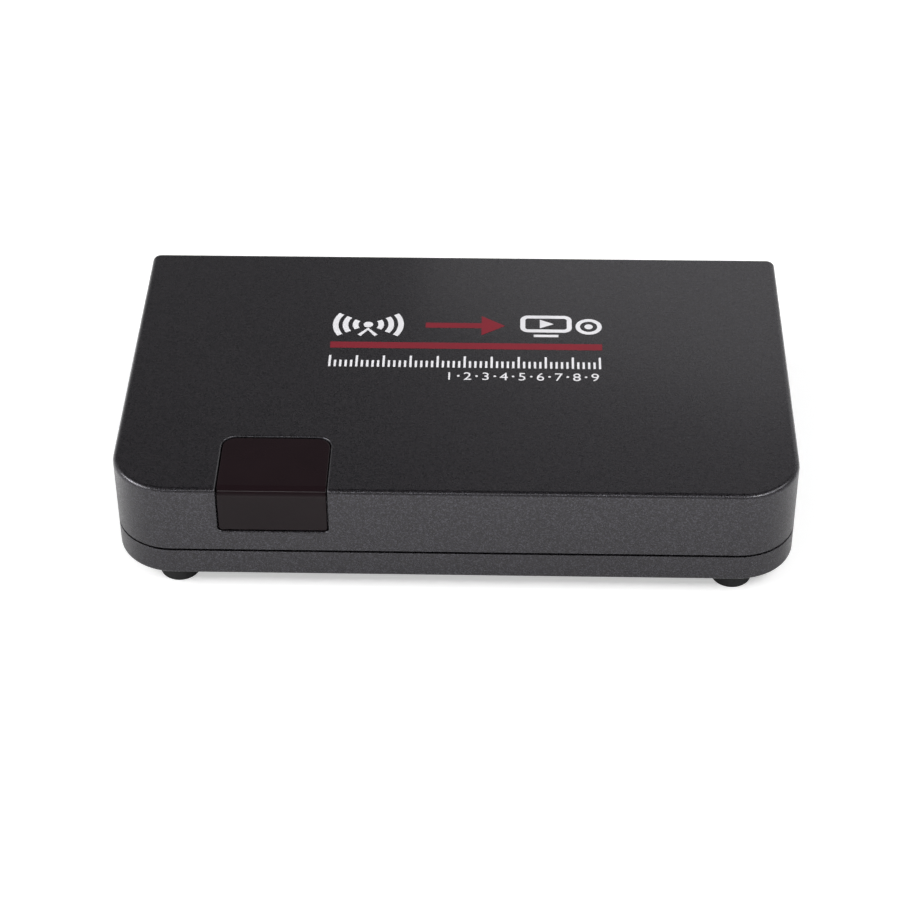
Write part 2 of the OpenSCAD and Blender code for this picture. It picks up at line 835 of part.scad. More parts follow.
// Moulded bodies of the three phono sockets
module rca_housings()
    placed() color([0.08, 0.08, 0.085])
        for (i = [0 : rca_count - 1])
            translate([rca_x + i * rca_pitch, 0, 0])
                difference() {
                    translate([-rca_cell_w / 2, face_y - rca_depth, deck_z])
                        cube([rca_cell_w, rca_depth, socket_h]);
                    translate([0, face_y - rca_seat_depth - seat_gap, axis_z])
                        rotate([-90, 0, 0])
                            cylinder(r = rca_neck_r + seat_gap, h = rca_seat_depth + over);
                }

module rca_sleeve(i)
    placed() color([0.80, 0.80, 0.81])
        turned_y(rca_x + i * rca_pitch, [[rca_bore_r, face_y - rca_seat_depth],
            [rca_neck_r, face_y - rca_seat_depth], [rca_neck_r, panel_y + step_gap],
            [rca_r, panel_y + step_gap], [rca_r, rca_tip_y - edge_chamfer],
            [rca_r - edge_chamfer, rca_tip_y], [rca_bore_r, rca_tip_y]]);

module rca_insert(i, shade) {
    bore = rca_contact_r + seat_gap;
    placed() color(shade)
        turned_y(rca_x + i * rca_pitch, [[bore, face_y - rca_seat_depth],
            [rca_bore_r - seat_gap, face_y - rca_seat_depth], [rca_bore_r - seat_gap, rca_insert_y],
            [bore + rca_mouth, rca_insert_y], [bore, rca_insert_y - rca_mouth]]);
}

// Spring tube that grips the plug's pin, slit crosswise at its mouth
module rca_contact(i)
    placed() color([0.82, 0.66, 0.30])
        difference() {
            turned_y(rca_x + i * rca_pitch, [[rca_contact_d / 2, rca_contact_y - rca_contact_l],
                [rca_contact_r, rca_contact_y - rca_contact_l], [rca_contact_r, rca_contact_y],
                [rca_contact_d / 2, rca_contact_y]]);
            for (turn = [0, 90])
                translate([rca_x + i * rca_pitch, rca_contact_y - rca_slit_l / 2 + over / 2, axis_z])
                    rotate([0, turn, 0])
                        cube([2 * (rca_contact_r + over), rca_slit_l + over, rca_slit], center = true);
        }

// Solder tabs behind the phono block
module rca_terminals()
    placed() color([0.80, 0.80, 0.81])
        for (i = [0 : rca_count - 1])
            translate([rca_x + i * rca_pitch - rca_tab_w / 2, face_y - rca_depth - rca_tab_t, deck_z])
                cube([rca_tab_w, rca_tab_t, axis_h]);

module dc_housing()
    placed() color([0.07, 0.07, 0.07])
        translate([dc_x, 0, 0])
            difference() {
                union() {
                    translate([-dc_w / 2, dc_back_y, deck_z])
                        cube([dc_w, dc_depth, socket_h]);
                    translate([0, face_y - seat_gap, axis_z])
                        rotate([-90, 0, 0])
                            cylinder(r = dc_nose_r, h = panel_y - face_y + seat_gap);
                }
                translate([0, dc_floor_y, axis_z])
                    rotate([-90, 0, 0])
                        cylinder(r = dc_bore_d / 2, h = dc_bore_depth + over);
                translate([0, dc_back_y - over, axis_z])
                    rotate([-90, 0, 0])
                        cylinder(r = dc_root_r + seat_gap, h = dc_depth);
                dc_leaf_channel();
            }

// Side channel for the moving leaf, and slots for the two fixed contacts
module dc_leaf_channel() {
    channel_y = terminal_y - slot_play;
    bump_y = leaf_root_y + leaf_run - leaf_room;
    low = axis_z - leaf_w / 2 - leaf_room;
    width = leaf_w + 2 * leaf_room;
    translate([-dc_w / 2 - over, channel_y, low])
        cube([dc_w / 2 + over + leaf_x + leaf_room + leaf_eye_r, leaf_tip_y + leaf_room - channel_y, width]);
    translate([-dc_w / 2 - over, bump_y, low])
        cube([dc_w / 2 + over - plug_r + leaf_bite, leaf_tip_y + leaf_room - bump_y, width]);
    translate([leaf_x - leaf_t / 2 - leaf_eye_r - slot_play, channel_y, deck_z - over])
        cube([2 * (leaf_eye_r + slot_play), terminal_t + 2 * slot_play, axis_h + over]);
    translate([leaf_x + contact_gap - slot_play, leaf_tip_y - contact_w - slot_play, deck_z - over])
        cube([contact_t + 2 * slot_play, contact_w + 2 * slot_play, axis_h + over]);
}

module dc_pin()
    placed() color([0.80, 0.80, 0.81])
        turned_y(dc_x, [[0, dc_back_y - rivet_t], [rivet_r, dc_back_y - rivet_t], [rivet_r, dc_back_y],
            [dc_root_r, dc_back_y], [dc_root_r, dc_floor_y], [dc_pin_d / 2, dc_floor_y],
            [dc_pin_d / 2, panel_y - dc_pin_sink - dc_pin_d / 4], [dc_pin_d / 4, panel_y - dc_pin_sink],
            [0, panel_y - dc_pin_sink]]);

// Spring leaf that a plug pushes aside; it turns about the eye at its root
module dc_leaf() {
    peak_x = -(plug_r - leaf_bite);
    inner = [[leaf_x, leaf_root_y], [leaf_x, leaf_root_y + leaf_run], [peak_x, leaf_peak_y],
        [leaf_x, leaf_peak_y + leaf_rise], [leaf_x, leaf_tip_y]];
    placed() color([0.80, 0.70, 0.45])
        translate([dc_x, 0, axis_z - leaf_w / 2])
            linear_extrude(leaf_w) {
                polygon(concat(inner, [for (i = [len(inner) - 1 : -1 : 0]) inner[i] - [leaf_t, 0]]));
                translate([leaf_x - leaf_t / 2, leaf_root_y])
                    circle(leaf_eye_r);
            }
}

module dc_leaf_terminal()
    placed() color([0.80, 0.80, 0.81])
        translate([dc_x + leaf_x - leaf_t / 2 - leaf_eye_r, terminal_y, deck_z])
            cube([2 * leaf_eye_r, terminal_t, axis_h + leaf_w / 2]);

module dc_break_contact()
    placed() color([0.80, 0.80, 0.81])
        translate([dc_x + leaf_x + contact_gap, leaf_tip_y - contact_w, deck_z])
            cube([contact_t, contact_w, axis_h + leaf_w / 2]);

// Bent pin of a chip: starts at the body's side, ends flat on the board, out along +X
module gull_pin(h)
    rotate([90, 0, 0])
        translate([0, 0, -pin_w / 2])
            linear_extrude(pin_w)
                polygon([[0, h], [0, h + pin_t], [pin_out - pin_foot + pin_t, h + pin_t],
                    [pin_out - pin_foot + pin_t, pin_t], [pin_out, pin_t], [pin_out, 0],
                    [pin_out - pin_foot, 0], [pin_out - pin_foot, h]]);

// Row of pins along Y at distance x, both sides of a chip
module pin_rows(count, pitch, x, h)
    for (side = [0, 180], i = [0 : count - 1])
        rotate([0, 0, side])
            translate([x, (i - (count - 1) / 2) * pitch, 0])
                gull_pin(h);

module decoder_chip()
    placed() color([0.09, 0.09, 0.09])
        on_board(decoder_shares)
            translate([-decoder_size / 2, -decoder_size / 2, chip_lift])
                cube([decoder_size, decoder_size, decoder_h]);

module decoder_pins()
    placed() color([0.78, 0.78, 0.79])
        on_board(decoder_shares)
            for (turn = [0, 90])
                rotate([0, 0, turn])
                    pin_rows(decoder_pin_count, decoder_pin_pitch, decoder_size / 2, decoder_h / 2);

module controller_chip()
    placed() color([0.09, 0.09, 0.09])
        on_board(controller_shares)
            translate([-controller_w / 2, -controller_d / 2, chip_lift])
                cube([controller_w, controller_d, controller_h]);

module controller_pins()
    placed() color([0.78, 0.78, 0.79])
        on_board(controller_shares)
            rotate([0, 0, 90])
                pin_rows(controller_pin_count, controller_pin_pitch, controller_d / 2, controller_h / 2);

module memory_chip()
    placed() color([0.09, 0.09, 0.09])
        on_board(memory_shares)
            translate([-memory_w / 2, -memory_d / 2, chip_lift])
                cube([memory_w, memory_d, memory_h]);

module memory_pins()
    placed() color([0.78, 0.78, 0.79])
        on_board(memory_shares)
            rotate([0, 0, 90])
                pin_rows(memory_pin_count, memory_pin_pitch, memory_d / 2, memory_h / 2);

module regulator_body()
    placed() color([0.09, 0.09, 0.09])
        on_board(regulator_shares)
            translate([-regulator_w / 2, -regulator_d / 2, 0])
                cube([regulator_w, regulator_d, regulator_h]);

module regulator_tab()
    placed() color([0.78, 0.78, 0.79])
        on_board(regulator_shares) {
            translate([-regulator_tab_w / 2, regulator_d / 2, 0])
                cube([regulator_tab_w, regulator_tab_d, regulator_tab_t]);
            for (side = [-1, 1])
                translate([side * regulator_w / 4, -regulator_d / 2, 0])
                    rotate([0, 0, -90])
                        gull_pin(regulator_h / 2);
        }

module crystal_cans()
    placed() color([0.80, 0.80, 0.80])
        for (place = crystal_shares)
            on_board(place) {
                linear_extrude(crystal_flange_h)
                    stadium(crystal_l + 2 * crystal_flange, crystal_w + 2 * crystal_flange);
                linear_extrude(crystal_h)
                    stadium(crystal_l, crystal_w);
            }

module stadium(l, w) {
    square([l - w, w], center = true);
    for (side = [-1, 1])
        translate([side * (l - w) / 2, 0])
            circle(w / 2);
}

module saw_filter()
    placed() color([0.16, 0.16, 0.17])
        on_board(saw_shares)
            translate([-saw_w / 2, -saw_d / 2, 0])
                cube([saw_w, saw_d, saw_h]);

module capacitor_cans()
    placed() color([0.80, 0.80, 0.81])
        for (place = cap_shares)
            on_board(place)
                difference() {
                    translate([0, 0, cap_foot_h])
                        cylinder(r = cap_r - cap_sleeve_t - seat_gap, h = cap_h - cap_foot_h);
                    for (turn = [0, 90])
                        translate([0, 0, cap_h])
                            rotate([0, 0, turn])
                                cube([cap_r, cap_dimple, cap_dimple], center = true);
                }

module capacitor_sleeves()
    placed() color([0.08, 0.10, 0.22])
        for (place = cap_shares)
            on_board(place)
                rotate_extrude()
                    polygon([[cap_r - cap_sleeve_t, 0], [cap_r, 0], [cap_r, cap_brim_z + cap_sleeve_t],
                        [cap_r - cap_lip, cap_brim_z + cap_sleeve_t], [cap_r - cap_lip, cap_brim_z],
                        [cap_r - cap_sleeve_t, cap_brim_z]]);

module choke_core()
    placed() color([0.22, 0.22, 0.23])
        on_board(choke_shares)
            rotate_extrude()
                polygon([[0, 0], [choke_r, 0], [choke_r, choke_flange], [choke_r - choke_waist, choke_flange],
                    [choke_r - choke_waist, choke_h - choke_flange], [choke_r, choke_h - choke_flange],
                    [choke_r, choke_h], [0, choke_h]]);

module choke_winding()
    placed() color([0.70, 0.38, 0.18])
        on_board(choke_shares)
            rotate_extrude()
                polygon([[choke_r - choke_waist + seat_gap, choke_flange + seat_gap],
                    [choke_r - choke_waist / 4, choke_flange + seat_gap],
                    [choke_r - choke_waist / 4, choke_h - choke_flange - seat_gap],
                    [choke_r - choke_waist + seat_gap, choke_h - choke_flange - seat_gap]]);

// Rows of small blocks soldered flat on the board
module chip_rows(rows, t)
    for (row = rows, i = [0 : row[2] - 1])
        on_board([row[0], row[1]])
            translate([i * chip_part_pitch - chip_part_w / 2, -chip_part_l / 2, 0])
                cube([chip_part_w, chip_part_l, t]);

module chip_resistors()
    placed() color([0.10, 0.10, 0.10])
        chip_rows(resistor_shares, resistor_t);

module chip_capacitors()
    placed() color([0.66, 0.52, 0.36])
        chip_rows(ceramic_shares, ceramic_t);

// Infra-red receiver, its lens towards the front
module ir_receiver()
    placed() color([0.10, 0.08, 0.08])
        translate([ir_x, ir_y, deck_z + ir_lift]) {
            translate([-ir_w / 2, 0, 0])
                cube([ir_w, ir_d, ir_h]);
            intersection() {
                translate([0, ir_lens_r - ir_lens_out, ir_h / 2])
                    sphere(ir_lens_r);
                translate([-ir_w / 2, -ir_lens_out - over, 0])
                    cube([ir_w, ir_lens_out + over + ir_d / 2, ir_h]);
            }
        }

module ir_leads()
    placed() color([0.78, 0.78, 0.79])
        for (i = [-1 : 1])
            translate([ir_x + i * ir_lead_pitch - lead_w / 2, ir_y + (ir_d - lead_t) / 2, deck_z])
                cube([lead_w, lead_t, ir_lift]);

// Standby lamp under the window's top leg
module status_led()
    placed() color([0.75, 0.15, 0.12])
        translate([led_x, led_y, deck_z + led_lift]) {
            cylinder(r = led_r + led_flange, h = led_flange_h);
            cylinder(r = led_r, h = led_h);
            translate([0, 0, led_h])
                sphere(led_r);
        }

module led_leads()
    placed() color([0.78, 0.78, 0.79])
        for (side = [-1, 1])
            translate([led_x + side * led_lead_pitch / 2 - lead_w / 2, led_y - lead_w / 2, deck_z])
                cube([lead_w, lead_w, led_lift]);

top_cover();
bottom_cover();
rear_panel();
ir_window();
rubber_feet();
case_screws();
base_label();
main_board();
board_screws();
tuner_frame();
tuner_lid();
tuner_board();
tuner_coils();
tuner_pins();
rf_port();
rf_insulator();
rf_contact();
rca_housings();
rca_sleeve(0);  // rca_sleeve_video
rca_sleeve(1);  // rca_sleeve_left
rca_sleeve(2);  // rca_sleeve_right
rca_insert(0, [0.85, 0.66, 0.05]);  // rca_insert_video
rca_insert(1, [0.88, 0.88, 0.86]);  // rca_insert_left
rca_insert(2, [0.70, 0.06, 0.06]);  // rca_insert_right
rca_contact(0);  // rca_contact_video
rca_contact(1);  // rca_contact_left
rca_contact(2);  // rca_contact_right
rca_terminals();
dc_housing();
dc_pin();
dc_leaf();
dc_leaf_terminal();
dc_break_contact();
decoder_chip();
decoder_pins();
controller_chip();
controller_pins();
memory_chip();
memory_pins();
regulator_body();
regulator_tab();
crystal_cans();
saw_filter();
capacitor_cans();
capacitor_sleeves();
choke_core();
choke_winding();
chip_resistors();
chip_capacitors();
ir_receiver();
ir_leads();
status_led();
led_leads();
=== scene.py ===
import json
import math

import bmesh
import bpy
from mathutils import Matrix, Vector


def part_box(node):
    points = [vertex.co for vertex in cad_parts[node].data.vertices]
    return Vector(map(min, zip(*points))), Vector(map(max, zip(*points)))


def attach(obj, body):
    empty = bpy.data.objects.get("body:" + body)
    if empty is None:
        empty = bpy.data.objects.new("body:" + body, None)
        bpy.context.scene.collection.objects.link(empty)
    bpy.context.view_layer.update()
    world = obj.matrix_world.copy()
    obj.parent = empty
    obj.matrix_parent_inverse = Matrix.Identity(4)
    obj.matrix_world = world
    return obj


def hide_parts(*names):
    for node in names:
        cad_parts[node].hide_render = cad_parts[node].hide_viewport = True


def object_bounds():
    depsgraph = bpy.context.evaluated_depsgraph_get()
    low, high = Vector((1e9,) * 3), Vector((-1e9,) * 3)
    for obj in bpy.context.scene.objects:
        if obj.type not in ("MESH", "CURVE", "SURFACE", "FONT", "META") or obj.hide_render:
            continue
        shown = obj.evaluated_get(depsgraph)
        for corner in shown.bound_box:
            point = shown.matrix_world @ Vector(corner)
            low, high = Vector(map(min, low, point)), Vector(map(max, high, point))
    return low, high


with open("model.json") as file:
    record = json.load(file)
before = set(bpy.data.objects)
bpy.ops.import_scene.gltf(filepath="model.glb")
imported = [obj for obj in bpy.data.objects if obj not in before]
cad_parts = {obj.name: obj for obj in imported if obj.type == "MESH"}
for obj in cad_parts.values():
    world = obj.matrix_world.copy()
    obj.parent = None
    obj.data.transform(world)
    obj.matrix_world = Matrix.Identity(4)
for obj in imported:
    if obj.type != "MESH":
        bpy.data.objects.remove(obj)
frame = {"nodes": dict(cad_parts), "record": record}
nodes = frame["nodes"]
cadLow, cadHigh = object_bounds()
scene = bpy.context.scene
mm = 0.001
mergeGap = 0.001 * mm
mainBody = "converter"
print("frame loaded:", len(nodes), "nodes")


# Small helpers for node trees and meshes

def put(tree, kind, **options):
    made = tree.nodes.new(kind)
    for name, value in options.items():
        setattr(made, name, value)
    return made


def feed(tree, target, value):
    if isinstance(value, bpy.types.NodeSocket):
        tree.links.new(value, target)
    elif value is not None:
        target.default_value = value


def calculate(tree, operation, a, b=None, clamp=False):
    made = put(tree, "ShaderNodeMath", operation=operation, use_clamp=clamp)
    feed(tree, made.inputs[0], a)
    feed(tree, made.inputs[1], b)
    return made.outputs[0]


def ramp(tree, value, fromLow, fromHigh, toLow, toHigh):
    made = put(tree, "ShaderNodeMapRange")
    for name, given in (("Value", value), ("From Min", fromLow), ("From Max", fromHigh),
                        ("To Min", toLow), ("To Max", toHigh)):
        feed(tree, made.inputs[name], given)
    return made.outputs[0]


def blendColours(tree, mask, first, second):
    made = put(tree, "ShaderNodeMix", data_type="RGBA")
    feed(tree, made.inputs[0], mask)
    feed(tree, made.inputs[6], first)
    feed(tree, made.inputs[7], second)
    return made.outputs[2]


def wire(tree, node, **values):  # an underscore in a name stands for a space
    for name, value in values.items():
        feed(tree, node.inputs[name.replace("_", " ")], value)
    return node


def noise(tree, vector, scale, detail):
    made = wire(tree, put(tree, "ShaderNodeTexNoise"), Vector=vector, Scale=scale, Detail=detail)
    return made.outputs["Fac"]


def opaque(colour):
    return (colour[0], colour[1], colour[2], 1.0)


def linkObject(name, mesh, material=None):
    made = bpy.data.objects.new(name, mesh)
    scene.collection.objects.link(made)
    if material is not None:
        mesh.materials.clear()
        mesh.materials.append(material)
    return made


def enlist(piece, stoodFor=(), body=mainBody):
    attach(piece, body)
    if stoodFor:
        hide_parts(*stoodFor)
    return piece


def smoothByAngle(mesh, degrees):
    mesh.shade_smooth()
    mesh.set_sharp_from_angle(angle=math.radians(degrees))


def applyModifiers(piece):
    graph = bpy.context.evaluated_depsgraph_get()
    finished = bpy.data.meshes.new_from_object(piece.evaluated_get(graph))
    piece.modifiers.clear()
    piece.data = finished
    return piece


# Turns a profile, a list of (radius, distance along the axis), round an axis

def turnedMesh(name, profile, centre, axis="Y", steps=96, closed=True):
    bm = bmesh.new()
    rings = []
    for radius, along in profile:
        ring = []
        for i in range(steps if radius > 0 else 1):
            angle = 2 * math.pi * i / steps
            across, up = radius * math.cos(angle), radius * math.sin(angle)
            place = (across, along, up) if axis == "Y" else (across, up, along)
            ring.append(bm.verts.new(Vector(centre) + Vector(place)))
        rings.append(ring)
    pairs = list(zip(rings, rings[1:] + rings[:1])) if closed else list(zip(rings, rings[1:]))
    for a, b in pairs:
        for i in range(steps):
            corners = []
            for ring, index in ((a, i), (a, i + 1), (b, i + 1), (b, i)):
                corner = ring[index % len(ring)]
                if corner not in corners:
                    corners.append(corner)
            if len(corners) > 2:
                bm.faces.new(corners)
    bmesh.ops.recalc_face_normals(bm, faces=bm.faces)
    mesh = bpy.data.meshes.new(name)
    bm.to_mesh(mesh)
    bm.free()
    return mesh


# Geometry node trees: opened with named inputs, closed with real geometry and its material

def openTree(name, **inputs):
    tree = bpy.data.node_groups.new(name, "GeometryNodeTree")
    for label, kind in inputs.items():
        tree.interface.new_socket(name=label.replace("_", " "), in_out="INPUT",
                                  socket_type="NodeSocket" + kind)
    tree.interface.new_socket(name="Geometry", in_out="OUTPUT", socket_type="NodeSocketGeometry")
    return tree, put(tree, "NodeGroupInput").outputs, put(tree, "NodeGroupOutput")


def closeTree(tree, leave, made, material):
    real = wire(tree, put(tree, "GeometryNodeRealizeInstances"), Geometry=made)
    finish = wire(tree, put(tree, "GeometryNodeSetMaterial"), Material=material,
                  Geometry=real.outputs["Geometry"])
    wire(tree, leave, Geometry=finish.outputs["Geometry"])
    return tree


def runTree(name, tree, values, material):
    holder = linkObject(name, bpy.data.meshes.new(name))
    modifier = holder.modifiers.new("maker", "NODES")
    modifier.node_group = tree
    for item in tree.interface.items_tree:
        if item.item_type == "SOCKET" and item.in_out == "INPUT" and item.name in values:
            modifier[item.identifier] = values[item.name]
    applyModifiers(holder)
    if not holder.data.materials:
        holder.data.materials.append(material)
    return holder


# Shared shader groups: each puts out only masks or heights, in object coordinates (metres)

def newGroup(name, inputs, outputs):
    group = bpy.data.node_groups.new(name, "ShaderNodeTree")
    for label, start in inputs:
        made = group.interface.new_socket(name=label, in_out="INPUT", socket_type="NodeSocketFloat")
        made.default_value = start
    for label in outputs:
        group.interface.new_socket(name=label, in_out="OUTPUT", socket_type="NodeSocketFloat")
    entry, leave = put(group, "NodeGroupInput"), put(group, "NodeGroupOutput")
    place = put(group, "ShaderNodeTexCoord").outputs["Object"]
    return group, entry, leave, place


def buildFleck():
    group, entry, leave, place = newGroup(
        "metalFleck", [("Fleck size", 0.15 * mm), ("Share", 0.3)], ["Fleck", "Tilt"])
    cells = put(group, "ShaderNodeTexVoronoi", feature="F1")
    feed(group, cells.inputs["Vector"], place)
    feed(group, cells.inputs["Scale"], calculate(group, "DIVIDE", 1.0, entry.outputs["Fleck size"]))
    parts = put(group, "ShaderNodeSeparateColor")
    feed(group, parts.inputs[0], cells.outputs["Color"])
    edge = calculate(group, "SUBTRACT", 1.0, entry.outputs["Share"])
    bright = calculate(group, "SUBTRACT", parts.outputs[0], edge)
    feed(group, leave.inputs["Fleck"],
         calculate(group, "DIVIDE", bright, entry.outputs["Share"], clamp=True))
    feed(group, leave.inputs["Tilt"], parts.outputs[1])
    return group


def buildMottle():
    group, entry, leave, place = newGroup(
        "softMottle", [("Patch size", 12 * mm), ("Grain size", 0.4 * mm)], ["Patch", "Grain"])
    for label, size, detail in (("Patch", "Patch size", 3.0), ("Grain", "Grain size", 2.0)):
        scale = calculate(group, "DIVIDE", 1.0, entry.outputs[size])
        feed(group, leave.inputs[label], noise(group, place, scale, detail))
    return group


def buildBrush():
    group, entry, leave, place = newGroup(
        "brushLines", [("Line width", 0.05 * mm), ("Stretch", 25.0)], ["Lines"])
    fine = calculate(group, "DIVIDE", 1.0, entry.outputs["Line width"])
    long = calculate(group, "DIVIDE", fine, entry.outputs["Stretch"])
    joined = put(group, "ShaderNodeCombineXYZ")
    for socket, scale in zip(joined.inputs, (long, fine, fine)):
        feed(group, socket, scale)
    scaled = put(group, "ShaderNodeVectorMath", operation="MULTIPLY")
    feed(group, scaled.inputs[0], place)
    feed(group, scaled.inputs[1], joined.outputs[0])
    feed(group, leave.inputs["Lines"], noise(group, scaled.outputs[0], 1.0, 2.0))
    return group


wearAndHighlightEdge = {"samples": 4, "flat": 0.985, "sharp": 0.85, "detail": 4.0}


# Edge mask for wear and a painted highlight: the Bevel node finds bent edges, and noise breaks them
# up
def buildWear():
    group, entry, leave, place = newGroup(
        "edgeWear", [("Reach", 0.3 * mm), ("Break size", 2 * mm), ("Amount", 0.5)], ["Wear"])
    rounded = put(group, "ShaderNodeBevel", samples=wearAndHighlightEdge["samples"])
    feed(group, rounded.inputs["Radius"], entry.outputs["Reach"])
    agree = put(group, "ShaderNodeVectorMath", operation="DOT_PRODUCT")
    feed(group, agree.inputs[0], rounded.outputs[0])
    feed(group, agree.inputs[1], put(group, "ShaderNodeNewGeometry").outputs["Normal"])
    edge = ramp(group, agree.outputs["Value"], wearAndHighlightEdge["flat"], wearAndHighlightEdge["sharp"], 0.0, 1.0)
    scale = calculate(group, "DIVIDE", 1.0, entry.outputs["Break size"])
    broken = noise(group, place, scale, wearAndHighlightEdge["detail"])
    kept = calculate(group, "MULTIPLY", edge, broken)
    feed(group, leave.inputs["Wear"],
         calculate(group, "MULTIPLY", kept, entry.outputs["Amount"], clamp=True))
    return group


fleckGroup = buildFleck()
mottleGroup = buildMottle()
brushGroup = buildBrush()
wearAndHighlightGroup = buildWear()


def useGroup(tree, group, **values):
    return wire(tree, put(tree, "ShaderNodeGroup", node_tree=group), **values).outputs


def newMaterial(name, metallic=0.0, specular=0.5, coat=0.0, coatRoughness=0.1):
    material = bpy.data.materials.new(name)
    material.use_nodes = True
    tree = material.node_tree
    shader = wire(tree, tree.nodes["Principled BSDF"], Metallic=metallic,
                  Specular_IOR_Level=specular, Coat_Weight=coat, Coat_Roughness=coatRoughness)
    return material, tree, shader


def bump(tree, shader, height, depth):
    made = wire(tree, put(tree, "ShaderNodeBump"), Strength=1.0, Distance=depth, Height=height)
    wire(tree, shader, Normal=made.outputs[0])


# Moulded plastics and resins

noiseSpan = (0.3, 0.7)  # what most of a noise lies in
# The edge colour, lighter than the body, is wear and a painted highlight on the edges
plasticUsual = {"darker": 0.86, "lighter": 1.14, "wornAndHighlit": 1.5, "wornAndHighlitLift": 0.01, "patch": 9 * mm,
                "span": (0.25, 0.75)}


def mouldedPlastic(name, finish):
    material, tree, shader = newMaterial(name, specular=finish["specular"], coat=finish["coat"])
    mottle = useGroup(tree, mottleGroup, Patch_size=finish["patch"], Grain_size=finish["grain"])
    wearAndHighlight = useGroup(tree, wearAndHighlightGroup, Amount=finish["wearAndHighlight"])
    base = blendColours(tree, mottle["Patch"], opaque(finish["dark"]), opaque(finish["light"]))
    # edges take the lighter colour: wear and painted highlight
    feed(tree, shader.inputs["Base Color"],
         blendColours(tree, wearAndHighlight["Wear"], base, opaque(finish["edge"])))
    feed(tree, shader.inputs["Roughness"],
         ramp(tree, mottle["Grain"], *plasticUsual["span"], *finish["roughness"]))
    bump(tree, shader, mottle["Grain"], finish["depth"])
    return material


def plasticFinish(colour, roughness, grain=0.3 * mm, depth=0.01 * mm, coat=0.0, specular=0.5,
                  wearAndHighlight=0.3):
    usual = plasticUsual
    return {"dark": [c * usual["darker"] for c in colour],
            "light": [min(1.0, c * usual["lighter"]) for c in colour],
            "edge": [min(1.0, c * usual["wornAndHighlit"] + usual["wornAndHighlitLift"]) for c in colour],
            "roughness": roughness, "patch": usual["patch"], "grain": grain, "depth": depth,
            "coat": coat, "specular": specular, "wearAndHighlight": wearAndHighlight}


# The lighter edge colour is wear and a painted highlight on the cover's edges
coverPaint = {
    "ground": (0.0135, 0.0112, 0.0137), "groundPale": (0.0170, 0.0146, 0.0172),
    "fleck": (0.092, 0.090, 0.102), "fleckSize": 0.17 * mm, "share": 0.72,
    "patch": 26 * mm, "grain": 0.45 * mm, "depth": 0.010 * mm,
    "roughness": (0.25, 0.37), "specular": 0.40, "coat": 0.3, "coatRoughness": 0.12,
    "wearAndHighlight": 0.45, "edge": (0.16, 0.16, 0.17), "metalFrom": 0.4, "tiltShare": 0.6}


def graphitePaint():
    material, tree, shader = newMaterial("graphitePaint", specular=coverPaint["specular"],
                                         coat=coverPaint["coat"],
                                         coatRoughness=coverPaint["coatRoughness"])
    mottle = useGroup(tree, mottleGroup, Patch_size=coverPaint["patch"],
                      Grain_size=coverPaint["grain"])
    fleck = useGroup(tree, fleckGroup, Fleck_size=coverPaint["fleckSize"],
                     Share=coverPaint["share"])
    wearAndHighlight = useGroup(tree, wearAndHighlightGroup, Amount=coverPaint["wearAndHighlight"])
    ground = blendColours(tree, mottle["Patch"], opaque(coverPaint["ground"]),
                          opaque(coverPaint["groundPale"]))
    flecked = blendColours(tree, fleck["Fleck"], ground, opaque(coverPaint["fleck"]))
    feed(tree, shader.inputs["Metallic"],
         ramp(tree, fleck["Fleck"], 0.0, coverPaint["metalFrom"], 0.0, 1.0))
    # edges take the lighter edge colour: wear and painted highlight
    feed(tree, shader.inputs["Base Color"],
         blendColours(tree, wearAndHighlight["Wear"], flecked, opaque(coverPaint["edge"])))
    low, high = coverPaint["roughness"]
    feed(tree, shader.inputs["Roughness"], ramp(tree, fleck["Tilt"], 0.0, 1.0, high, low))
    tilt = calculate(tree, "MULTIPLY", fleck["Tilt"], coverPaint["tiltShare"])
    bump(tree, shader, calculate(tree, "ADD", mottle["Grain"], tilt), coverPaint["depth"])
    return material


smokedAcrylic = {"tint": (0.0102, 0.0056, 0.0070), "tintPale": (0.0142, 0.0078, 0.0096),
                 "roughness": (0.05, 0.11), "patch": 7 * mm, "grain": 1.5 * mm, "specular": 0.17,
                 "edge": 0.2 * mm, "edgeSegments": 4}


def windowAcrylic():
    material, tree, shader = newMaterial("smokedAcrylic", specular=smokedAcrylic["specular"])
    mottle = useGroup(tree, mottleGroup, Patch_size=smokedAcrylic["patch"],
                      Grain_size=smokedAcrylic["grain"])
    feed(tree, shader.inputs["Base Color"],
         blendColours(tree, mottle["Patch"], opaque(smokedAcrylic["tint"]),
                      opaque(smokedAcrylic["tintPale"])))
    feed(tree, shader.inputs["Roughness"],
         ramp(tree, mottle["Grain"], *noiseSpan, *smokedAcrylic["roughness"]))
    return material


# Metals

metalUsual = {"dull": 0.82, "bright": 1.08, "patch": 4 * mm, "grain": 0.2 * mm, "patchShare": 0.6}


def brushedMetal(name, finish):
    material, tree, shader = newMaterial(name, metallic=1.0)
    mottle = useGroup(tree, mottleGroup, Patch_size=finish["patch"], Grain_size=finish["grain"])
    lines = useGroup(tree, brushGroup, Line_width=finish["line"], Stretch=finish["stretch"])
    share = metalUsual["patchShare"]
    mask = calculate(tree, "ADD", calculate(tree, "MULTIPLY", mottle["Patch"], share),
                     calculate(tree, "MULTIPLY", lines["Lines"], 1 - share))
    feed(tree, shader.inputs["Base Color"],
         blendColours(tree, mask, opaque(finish["dull"]), opaque(finish["bright"])))
    feed(tree, shader.inputs["Roughness"], ramp(tree, mask, *noiseSpan, *finish["roughness"]))
    bump(tree, shader, lines["Lines"], finish["depth"])
    return material


def metalFinish(colour, roughness, line=0.05 * mm, stretch=20.0, depth=0.002 * mm):
    usual = metalUsual
    return {"dull": [c * usual["dull"] for c in colour],
            "bright": [min(1.0, c * usual["bright"]) for c in colour], "roughness": roughness,
            "patch": usual["patch"], "grain": usual["grain"], "line": line, "stretch": stretch,
            "depth": depth}


# Solder-masked board: tracks under the mask, pads of tin where the mask is open

